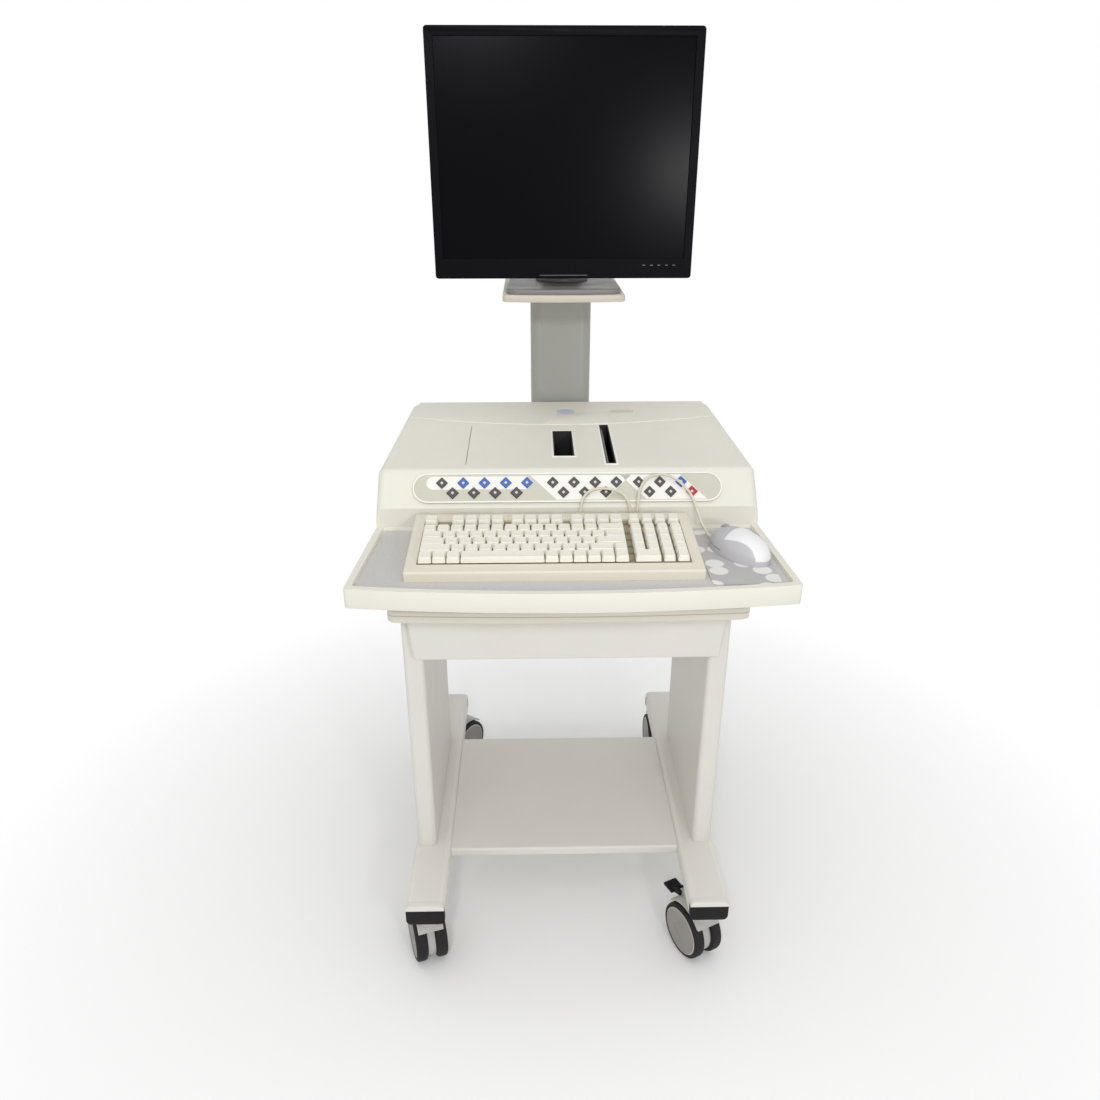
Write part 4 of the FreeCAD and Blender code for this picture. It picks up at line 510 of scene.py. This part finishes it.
def lay_cord(node, route):
    """A round cord along its route, in the place of the node's solid."""
    curve = bpy.data.curves.new(node + "_line", "CURVE")
    curve.dimensions = "3D"
    spline = curve.splines.new("NURBS")
    spline.points.add(len(route) - 1)
    for point, place in zip(spline.points, route):
        point.co = (*place, 1)
    spline.order_u = 3
    spline.use_endpoint_u = True
    spline.resolution_u = 12
    curve.bevel_depth = CORD_SIZE / 2
    curve.bevel_resolution = 5
    curve.use_fill_caps = True
    curve.materials.append(looks["cord_cream"])
    piece = bpy.data.objects.new(node + "_line", curve)
    bpy.context.scene.collection.objects.link(piece)
    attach(piece, "root")
    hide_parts(node)


lay_cord("mouse_cord", MOUSE_ROUTE)
lay_cord("keyboard_cord", KEYBOARD_ROUTE)

# Trolley, console, column and monitor: the solids with their edges eased by these millimetres
EASED = {
    "left_foot_rail": 0.8, "right_foot_rail": 0.8, "left_upright": 0.6, "right_upright": 0.6,
    "lower_shelf": 0.7, "drawer_front": 1.0, "drawer_box": 0.4, "drawer_runners": 0.4, "console_base": 1.2,
    "module_dock": 0.4, "paper_slot": 0.4, "tray_mat": 0.5, "mouse_pad": 0.6, "mouse_base": 1.0,
    "mouse_left_button": 0.5, "mouse_right_button": 0.5, "mouse_wheel": 0.5, "cord_bushings": 0.6,
    "column": 0.8, "monitor_foot": 1.0, "monitor_neck": 0.8, "monitor_bezel": 0.9, "monitor_back": 0.8,
    "mains_inlet": 0.6, "front_left_brake_pedal": 0.7, "front_right_brake_pedal": 0.7,
}
FORK_EASE = 0.7
for node, width in EASED.items():
    stand_for(node, eased(node, width))
for caster in CASTERS:
    node = caster + "_caster_fork"
    stand_for(node, eased(node, FORK_EASE))

# Rail ends: the painted tube runs over a black plug
RAIL_BAND = 10 * MM
PLUG_EASE = 1.6
caps = eased("foot_end_caps", PLUG_EASE)
band_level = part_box("foot_end_caps")[1].z - RAIL_BAND
split_level(caps, band_level)
for face in caps.faces:
    face.material_index = 1 if face.calc_center_median().z > band_level else 0
stand_for("foot_end_caps", caps, looks["trolley_paint"])

# Top board: a seam runs round its edge below the laminate
SEAM_DROP = 7 * MM
SEAM_TALL = 1.6 * MM
BOARD_EASE = 0.5
board = eased("top_board", BOARD_EASE)
seam_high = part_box("top_board")[1].z - SEAM_DROP
for height in (seam_high, seam_high - SEAM_TALL):
    split_level(board, height)
for face in board.faces:
    middle = face.calc_center_median().z
    face.material_index = 1 if seam_high - SEAM_TALL < middle < seam_high else 0
stand_for("top_board", board, board_seam)

# Column platform in beige
PLATFORM_EASE = 1.0
platform = eased("column_platform", PLATFORM_EASE)
for face in platform.faces:
    face.material_index = 1
stand_for("column_platform", platform, platform_beige)

# Console cover: pale frames round the dock and the slot, a groove painted darker as its shade
FRAME_REACH = 3.4 * MM
GROOVE_PLACE = -154 * MM
GROOVE_HALF = 0.7 * MM
COVER_EASE = 0.4
cover = eased("console_cover", COVER_EASE)
bays = [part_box(node) for node in ("module_dock", "paper_slot")]
for face in cover.faces:
    middle = face.calc_center_median()
    framed = any(low.x - FRAME_REACH < middle.x < high.x + FRAME_REACH
                 and low.y - FRAME_REACH < middle.y < high.y + FRAME_REACH for low, high in bays)
    # Faces along the groove take the painted shade
    face.material_index = 1 if framed else 2 if abs(middle.x - GROOVE_PLACE) < GROOVE_HALF else 0
stand_for("console_cover", cover, pale_frame_and_rim_highlight, groove_painted_shade)

# Bare plates in the round and the oval recess of the deck
PLATE_DEPTH = 134 * MM
PLATE_THICK = 0.6 * MM
PLATE_SINK = 0.2 * MM
PLATE_EDGE = 0.3 * MM
for name, place_x, half_x, half_y, material in (
        ("round_plate", 7 * MM, 15.4 * MM, 15.4 * MM, blank_blue),
        ("oval_plate", 105 * MM, 20.4 * MM, 8.9 * MM, blank_grey)):
    form = bmesh.new()
    spot = surface_at("console_cover", place_x, PLATE_DEPTH)
    inner_x, inner_y = half_x - PLATE_EDGE, half_y - PLATE_EDGE
    stack(form, spot, [(half_x, half_y, half_y, -PLATE_SINK),
                       (half_x, half_y, half_y, PLATE_THICK - PLATE_EDGE),
                       (inner_x, inner_y, inner_y, PLATE_THICK)], steps=12)
    make_piece(name, form, "root", "console_ivory", material)

# Contact strips on the dock's floor
STRIP_HALF = 0.8 * MM
STRIP_MARGIN = 15 * MM
STRIP_SINK = 0.2 * MM
STRIP_TALL = 1.2 * MM
STRIP_OFFSETS = (-6 * MM, 1 * MM, 8 * MM)
dock_low, dock_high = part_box("module_dock")
dock_middle = (dock_low + dock_high) / 2
strip_long = (dock_high.y - dock_low.y) / 2 - STRIP_MARGIN
floor_spot = surface_at("module_dock", dock_middle.x, dock_middle.y)
form = bmesh.new()
for offset in STRIP_OFFSETS:
    slab(form, floor_spot @ Matrix.Translation((offset, 0, 0)), STRIP_HALF, strip_long, STRIP_HALF / 2,
         -STRIP_SINK, STRIP_TALL)
make_piece("dock_strips", form, "root", "black_plastic", dim_grey)

# Tear bar in the paper slot, below the deck beside it
BAR_HALF = 1.5 * MM
BAR_CORNER = 0.4 * MM
BAR_TALL = 1.2 * MM
BAR_DROP = 5 * MM
BAR_MARGIN = 8 * MM
BAR_INSET = 3.4 * MM
DECK_BESIDE = 12 * MM
slot_low, slot_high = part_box("paper_slot")
slot_middle = (slot_low + slot_high) / 2
bar_long = (slot_high.y - slot_low.y) / 2 - BAR_MARGIN
bar_spot = surface_at("console_cover", slot_high.x + DECK_BESIDE, slot_middle.y)
bar_spot.translation.x = slot_low.x + BAR_INSET
form = bmesh.new()
slab(form, bar_spot, BAR_HALF, bar_long, BAR_CORNER, -BAR_DROP - BAR_TALL, -BAR_DROP)
make_piece("tear_bar", form, "root", "black_plastic", dim_grey)

# Control panel with its rim, painted pale on top as a highlight, laid out in the slope that its keys are
# pressed across
press = Vector(joints["start_key_press"]["axis"])
slope = Matrix.Rotation(math.atan2(press.y, -press.z), 4, "X")
flat = slope.inverted()


def in_slope(points):
    """The lowest and highest corner of some points, seen along the panel's slope."""
    return extent([flat @ point for point in points])


PANEL_RIM = 1.5 * MM
RIM_EASE = 0.35
JUST_ABOVE = 0.2 * MM
JUST_BELOW = 0.1 * MM
panel_low, panel_high = in_slope([vertex.co for vertex in nodes["control_panel"].data.vertices])
panel_face = panel_high.z - PANEL_RIM
panel = node_form("control_panel")
# The rim's top faces take a paler colour, a painted highlight
for face in panel.faces:
    height = (flat @ face.calc_center_median()).z
    face.material_index = 1 if height > panel_face + JUST_ABOVE else 0
ease(panel, [edge for edge in sharp_edges(panel)
             if min((flat @ vert.co).z for vert in edge.verts) > panel_face - JUST_BELOW], RIM_EASE)
stand_for("control_panel", panel, pale_frame_and_rim_highlight)

# Diamond keys: inset and drop of each level of a key's edge, and a pale mark on its top
KEY_NODES = ("dark_function_keys", "blue_function_keys", "centre_keys", "right_keys", "start_key", "stop_key")
KEY_EDGE = ((0, 1.1 * MM), (0.12 * MM, 0.55 * MM), (0.45 * MM, 0.15 * MM), (1.0 * MM, 0),
            (2.2 * MM, 0.22 * MM))
EIGHTH_TURN = Matrix.Rotation(math.radians(45), 4, "Z")
KEY_CORNER = 1.1 * MM
KEY_MARK = 0.28
KEY_MARK_CORNER = 0.5 * MM
KEY_MARK_FOOT = 0.5 * MM
KEY_MARK_TOP = 0.12 * MM
key_places = {}
for node in KEY_NODES:
    form = bmesh.new()
    key_places[node] = []
    for points in islands(node):
        low, high = in_slope(points)
        middle = (low + high) / 2
        key_places[node].append((middle.x, middle.y))
        place = slope @ Matrix.Translation((middle.x, middle.y, 0)) @ EIGHTH_TURN
        half = (high.x - low.x) / 2 / math.sqrt(2)
        top = high.z
        stack(form, place, [(half, half, KEY_CORNER, low.z)]
              + [(half - inset, half - inset, KEY_CORNER, top - drop) for inset, drop in KEY_EDGE])
        mark = half * KEY_MARK
        slab(form, place, mark, mark, KEY_MARK_CORNER, top - KEY_MARK_FOOT, top - KEY_MARK_TOP, 1)
    replace_node(node, "caps", form, looks[slot_of[node]], key_mark)

# Printed fields: a strip along the upper left keys and two slanted fields
FIELD_SINK = 0.3 * MM
FIELD_LIFT = 0.15 * MM
FIELD_HALF = 19 * MM
STRIP_REACH = 10 * MM
STRIP_LEAD = 13 * MM
STRIP_STEPS = 12
panel_middle = (panel_low.y + panel_high.y) / 2


def printed_field(name, corners):
    """A thin print on the panel's face through corners given along and up the slope."""
    form = bmesh.new()
    count = len(corners)
    sheet = [[form.verts.new(slope @ Vector((x, panel_middle + y, panel_face + height))) for x, y in corners]
             for height in (-FIELD_SINK, FIELD_LIFT)]
    form.faces.new(sheet[0][::-1])
    form.faces.new(sheet[1])
    for index in range(count):
        after = (index + 1) % count
        form.faces.new((sheet[0][index], sheet[0][after], sheet[1][after], sheet[1][index]))
    make_piece(name, form, "root", "panel_olive", print_white)


def rows_of(*names):
    """Key centres of the upper and the lower row, and the rows' distance from the panel's middle."""
    centres = [place for name in names for place in key_places[name]]
    upper = [x for x, y in centres if y > panel_middle]
    lower = [x for x, y in centres if y < panel_middle]
    return upper, lower, max(y for x, y in centres) - panel_middle


upper, lower, row = rows_of("dark_function_keys", "blue_function_keys")
strip_start = min(upper) - STRIP_LEAD
strip = [(strip_start + STRIP_REACH * math.cos(angle), row + STRIP_REACH * math.sin(angle))
         for angle in (math.pi * (0.5 + step / STRIP_STEPS) for step in range(STRIP_STEPS + 1))]
strip += [(max(upper), row - STRIP_REACH), (max(upper) + STRIP_REACH, row), (max(upper), row + STRIP_REACH)]
printed_field("panel_field_left", strip)
for name, keys, before, beyond in (("middle", ("centre_keys",), 22 * MM, 11 * MM),
                                   ("right", ("right_keys", "start_key", "stop_key"), 16 * MM, 11 * MM)):
    upper, lower, row = rows_of(*keys)
    lean_before = (min(lower) - min(upper)) / (2 * row)
    lean_beyond = (max(lower) - max(upper)) / (2 * row)
    rest = FIELD_HALF - row
    printed_field("panel_field_" + name, [
        (min(lower) - before + lean_before * rest, -FIELD_HALF),
        (max(lower) + beyond + lean_beyond * rest, -FIELD_HALF),
        (max(upper) + beyond - lean_beyond * rest, FIELD_HALF),
        (min(upper) - before - lean_before * rest, FIELD_HALF)])

# Keyboard: a key bed in painted brown shade under caps that nearly touch, with open columns in the number
# block
deck_press = Vector(joints["keyboard_row_1_press"]["axis"])
deck = Matrix.Rotation(math.atan2(deck_press.y, -deck_press.z), 4, "X")
undeck = deck.inverted()
ROWS = [f"keyboard_row_{number}" for number in range(1, 7)]
CASE_EASE = 0.8
CAP_SPREAD = 1.2 * MM
BED_DROP = 1 * MM
NUMBER_BLOCK = 78 * MM
FRONT_REACH = 1.2 * MM
case = eased("keyboard_case", CASE_EASE)
case_top = max((undeck @ vert.co).z for vert in case.verts)
caps_low, caps_high = extent([undeck @ point for node in ROWS for points in islands(node)
                              for point in points])
# Bed faces below the caps' tops take the painted shade
for face in case.faces:
    middle = undeck @ face.calc_center_median()
    inside = caps_low.x < middle.x < caps_high.x and caps_low.y < middle.y < caps_high.y
    face.material_index = 1 if inside and middle.z < case_top - BED_DROP else 0
stand_for("keyboard_case", case, key_bed_painted_shade)

# Keycaps: inset, corner radius and drop from the top of each level, from the foot to the hollow
CAP_EDGE = ((0, 2.2 * MM, 9 * MM), (0.525 * MM, 2.4 * MM, 4.05 * MM), (1.2 * MM, 2.6 * MM, 0.6 * MM),
            (1.65 * MM, 2.4 * MM, 0), (3.9 * MM, 1.6 * MM, 0.4 * MM))
for node in ROWS:
    form = bmesh.new()
    lead = FRONT_REACH if node == ROWS[0] else 0
    for points in islands(node):
        low, high = extent([undeck @ point for point in points])
        middle = (low + high) / 2
        half_x = (high.x - low.x) / 2 + (0 if middle.x > NUMBER_BLOCK else CAP_SPREAD)
        half_y = (high.y - low.y + lead) / 2 + CAP_SPREAD
        place = deck @ Matrix.Translation((middle.x, middle.y - lead / 2, 0))
        stack(form, place, [(half_x - inset, half_y - inset, corner, high.z - drop)
                            for inset, corner, drop in CAP_EDGE])
    replace_node(node, "caps", form, cap_white)

# Mouse shell: a white palm on one side of an S-shaped line, grey on the other
mouse_across = Vector(joints["mouse_scroll_spin"]["axis"])
mouse_across *= math.copysign(1, mouse_across.x)
mouse_ahead = Vector((0, 0, 1)).cross(mouse_across)
shell_low, shell_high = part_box("mouse_shell")
PALM_REACH = 16 * MM
palm_middle = (shell_low + shell_high) / 2 - mouse_across * PALM_REACH
shell_paint = two_tone("mouse_two_tone", MOUSE_WHITE, MOUSE_GREY, palm_middle, mouse_ahead, mouse_across)
replace_node("mouse_shell", "skin", node_form("mouse_shell"), shell_paint)

# Monitor chin: five touch marks and a thin light line
TOUCH_COUNT = 5
TOUCH_START = 128 * MM
TOUCH_PITCH = 12 * MM
TOUCH_HEIGHT = 20 * MM
TOUCH_HALF = (2.2 * MM, 0.6 * MM)
LINE_HEIGHT = 5 * MM
LINE_HALF = (38 * MM, 0.5 * MM)
CHIN_CORNER = 0.3 * MM
CHIN_SINK = 0.3 * MM
CHIN_LIFT = 0.15 * MM
bezel_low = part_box("monitor_bezel")[0]
chin_face = Matrix.Translation((0, bezel_low.y, bezel_low.z)) @ Matrix.Rotation(math.radians(90), 4, "X")
chin_spots = [(TOUCH_START + TOUCH_PITCH * step, TOUCH_HEIGHT, *TOUCH_HALF) for step in range(TOUCH_COUNT)]
chin_spots.append((0, LINE_HEIGHT, *LINE_HALF))
form = bmesh.new()
for along, above, half_x, half_y in chin_spots:
    slab(form, chin_face @ Matrix.Translation((along, above, 0)), half_x, half_y, CHIN_CORNER, -CHIN_SINK,
         CHIN_LIFT)
make_piece("chin_marks", form, body_of["monitor_bezel"], "monitor_black", dim_grey)

# Casters: black treads round grey discs with a light ring
WHEEL_RADIUS = 50 * MM
WHEEL_NEAR = 8 * MM
WHEEL_FAR = 28 * MM
AXLE_RADIUS = 5 * MM
AXLE_BORE = 0.5 * MM
AXLE_PLAY = 0.2 * MM
AXLE_STEPS = 24
TREAD, DISC, RING = 0, 1, 2
WHEEL_PROFILE = [
    (WHEEL_NEAR, AXLE_RADIUS, DISC), (WHEEL_NEAR, 42 * MM, DISC), (WHEEL_NEAR, 43 * MM, TREAD),
    (WHEEL_NEAR + 0.6 * MM, 46.5 * MM, TREAD), (WHEEL_NEAR + 2.2 * MM, 49 * MM, TREAD),
    (WHEEL_NEAR + 5 * MM, WHEEL_RADIUS, TREAD), (WHEEL_FAR - 5 * MM, WHEEL_RADIUS, TREAD),
    (WHEEL_FAR - 2.2 * MM, 49 * MM, TREAD), (WHEEL_FAR - 0.6 * MM, 46.5 * MM, TREAD),
    (WHEEL_FAR, 44.5 * MM, TREAD), (WHEEL_FAR, 43.2 * MM, TREAD), (WHEEL_FAR - 0.9 * MM, 42.6 * MM, RING),
    (WHEEL_FAR - 0.9 * MM, 41.6 * MM, RING), (WHEEL_FAR - 0.1 * MM, 40.6 * MM, DISC),
    (WHEEL_FAR - 1.2 * MM, 36 * MM, DISC), (WHEEL_FAR - 1.9 * MM, 20 * MM, DISC),
    (WHEEL_FAR - 1.6 * MM, 14 * MM, DISC), (WHEEL_FAR - 0.5 * MM, 12.4 * MM, DISC),
    (WHEEL_FAR - 0.2 * MM, 9 * MM, DISC), (WHEEL_FAR, AXLE_RADIUS, DISC),
]
AXLE_PROFILE = [(-WHEEL_FAR, AXLE_BORE, DISC), (WHEEL_FAR, AXLE_BORE, DISC),
                (WHEEL_FAR, AXLE_RADIUS - AXLE_PLAY, DISC), (-WHEEL_FAR, AXLE_RADIUS - AXLE_PLAY, DISC)]
for caster in CASTERS:
    joint = joints[caster + "_roll"]
    axle = Vector(joint["axis"])
    heading = Matrix.Rotation(math.atan2(axle.y, axle.x), 4, "Z")
    hub = Matrix.Translation(joint["pos_m"]) @ heading
    form = bmesh.new()
    for facing in (1, -1):
        turned(form, hub @ Matrix.Diagonal((facing, 1, 1, 1)), WHEEL_PROFILE)
    turned(form, hub, AXLE_PROFILE, AXLE_STEPS)
    replace_node(caster + "_wheels", "tyres", form, looks["caster_wheel"], disc_grey, disc_ring)

# Stage and light
FLOOR_HALF = 12
FLOOR_PALE = linear(250, 250, 250)
SHADOW_REACH = 0.35
WHITE_REACH = 1.2
FILL_LEVEL = 0.6


def seen_white(tree):
    """1 for rays that show the backdrop itself or mirror it, 0 for rays that carry light."""
    path = tree.nodes.new("ShaderNodeLightPath")
    share = path.outputs["Is Camera Ray"]
    for kind in ("Is Glossy Ray", "Is Transmission Ray"):
        larger = tree.nodes.new("ShaderNodeMath")
        larger.operation = "MAXIMUM"
        tree.links.new(share, larger.inputs[0])
        tree.links.new(path.outputs[kind], larger.inputs[1])
        share = larger.outputs["Value"]
    return share


def lay_floor():
    """A pale floor that keeps the shadow near the object and runs out to white."""
    paint = Paint("studio_floor")
    paint.set(Base_Color=FLOOR_PALE, Roughness=0.9, Specular_IOR_Level=0.1)
    glow = paint.add("ShaderNodeEmission")
    away = paint.add("ShaderNodeVectorMath", operation="LENGTH")
    paint.link(paint.place, away.inputs[0])
    reach = paint.add("ShaderNodeMapRange")
    reach.inputs["From Min"].default_value = SHADOW_REACH
    reach.inputs["From Max"].default_value = WHITE_REACH
    paint.link(away.outputs["Value"], reach.inputs["Value"])
    blend = paint.add("ShaderNodeMixShader")
    paint.link(paint.math("MULTIPLY", reach.outputs["Result"], seen_white(paint.tree)), blend.inputs[0])
    paint.link(paint.shader.outputs[0], blend.inputs[1])
    paint.link(glow.outputs[0], blend.inputs[2])
    paint.link(blend.outputs[0], paint.tree.nodes["Material Output"].inputs["Surface"])
    mesh = bpy.data.meshes.new("studio_floor")
    corners = [(-FLOOR_HALF, -FLOOR_HALF, 0), (FLOOR_HALF, -FLOOR_HALF, 0), (FLOOR_HALF, FLOOR_HALF, 0),
               (-FLOOR_HALF, FLOOR_HALF, 0)]
    mesh.from_pydata(corners, [], [(0, 1, 2, 3)])
    mesh.materials.append(paint.material)
    floor = bpy.data.objects.new("studio_floor", mesh)
    bpy.context.scene.collection.objects.link(floor)


def light_world():
    """A white surround that lights the object at the fill level."""
    world = bpy.data.worlds.new("studio")
    bpy.context.scene.world = world
    world.use_nodes = True
    tree = world.node_tree
    sky = tree.nodes["Background"]
    sky.inputs["Color"].default_value = (1, 1, 1, 1)
    level = tree.nodes.new("ShaderNodeMapRange")
    level.inputs["To Min"].default_value = FILL_LEVEL
    level.inputs["To Max"].default_value = 1
    tree.links.new(seen_white(tree), level.inputs["Value"])
    tree.links.new(level.outputs["Result"], sky.inputs["Strength"])


def soft_box(name, place, aim, size, power):
    """A square lamp at a place, turned to its aim: size in metres, power in watts."""
    lamp = bpy.data.lights.new(name, "AREA")
    lamp.shape = "SQUARE"
    lamp.size = size
    lamp.energy = power
    item = bpy.data.objects.new(name, lamp)
    item.location = place
    item.rotation_mode = "QUATERNION"
    item.rotation_quaternion = (Vector(aim) - Vector(place)).to_track_quat("-Z", "Y")
    bpy.context.scene.collection.objects.link(item)


lay_floor()
light_world()
for lamp_values in (("top_light", (0, -1.0, 3.4), (0, 0, 0.8), 2.4, 19),
                    ("front_light", (-0.25, -2.15, 1.9), (0, 0, 0.3), 0.2, 12),
                    ("window_light", (0.5, -1.8, 1.23), (0.17, 0.09, 1.27), 0.14, 5)):
    soft_box(*lamp_values)

# Camera: the photo's place and angle, sensor and lens in millimetres
CAMERA_PLACE = (-0.0533, -1.4219, 1.3089)
CAMERA_PITCH = math.radians(25.9)
CAMERA_YAW = math.radians(1.2)
CAMERA_SENSOR = 36
CAMERA_LENS = 29.5
CAMERA_SHIFT = 0.03
camera_data = bpy.data.cameras.new("photo_camera")
camera_data.sensor_width = CAMERA_SENSOR
camera_data.lens = CAMERA_LENS
camera_data.shift_y = CAMERA_SHIFT
camera = bpy.data.objects.new("photo_camera", camera_data)
camera.location = CAMERA_PLACE
gaze = Vector((math.sin(CAMERA_YAW) * math.cos(CAMERA_PITCH), math.cos(CAMERA_YAW) * math.cos(CAMERA_PITCH),
               -math.sin(CAMERA_PITCH)))
camera.rotation_mode = "QUATERNION"
camera.rotation_quaternion = gaze.to_track_quat("-Z", "Y")
bpy.context.scene.collection.objects.link(camera)
bpy.context.scene.camera = camera
bpy.context.scene.view_settings.view_transform = "Standard"
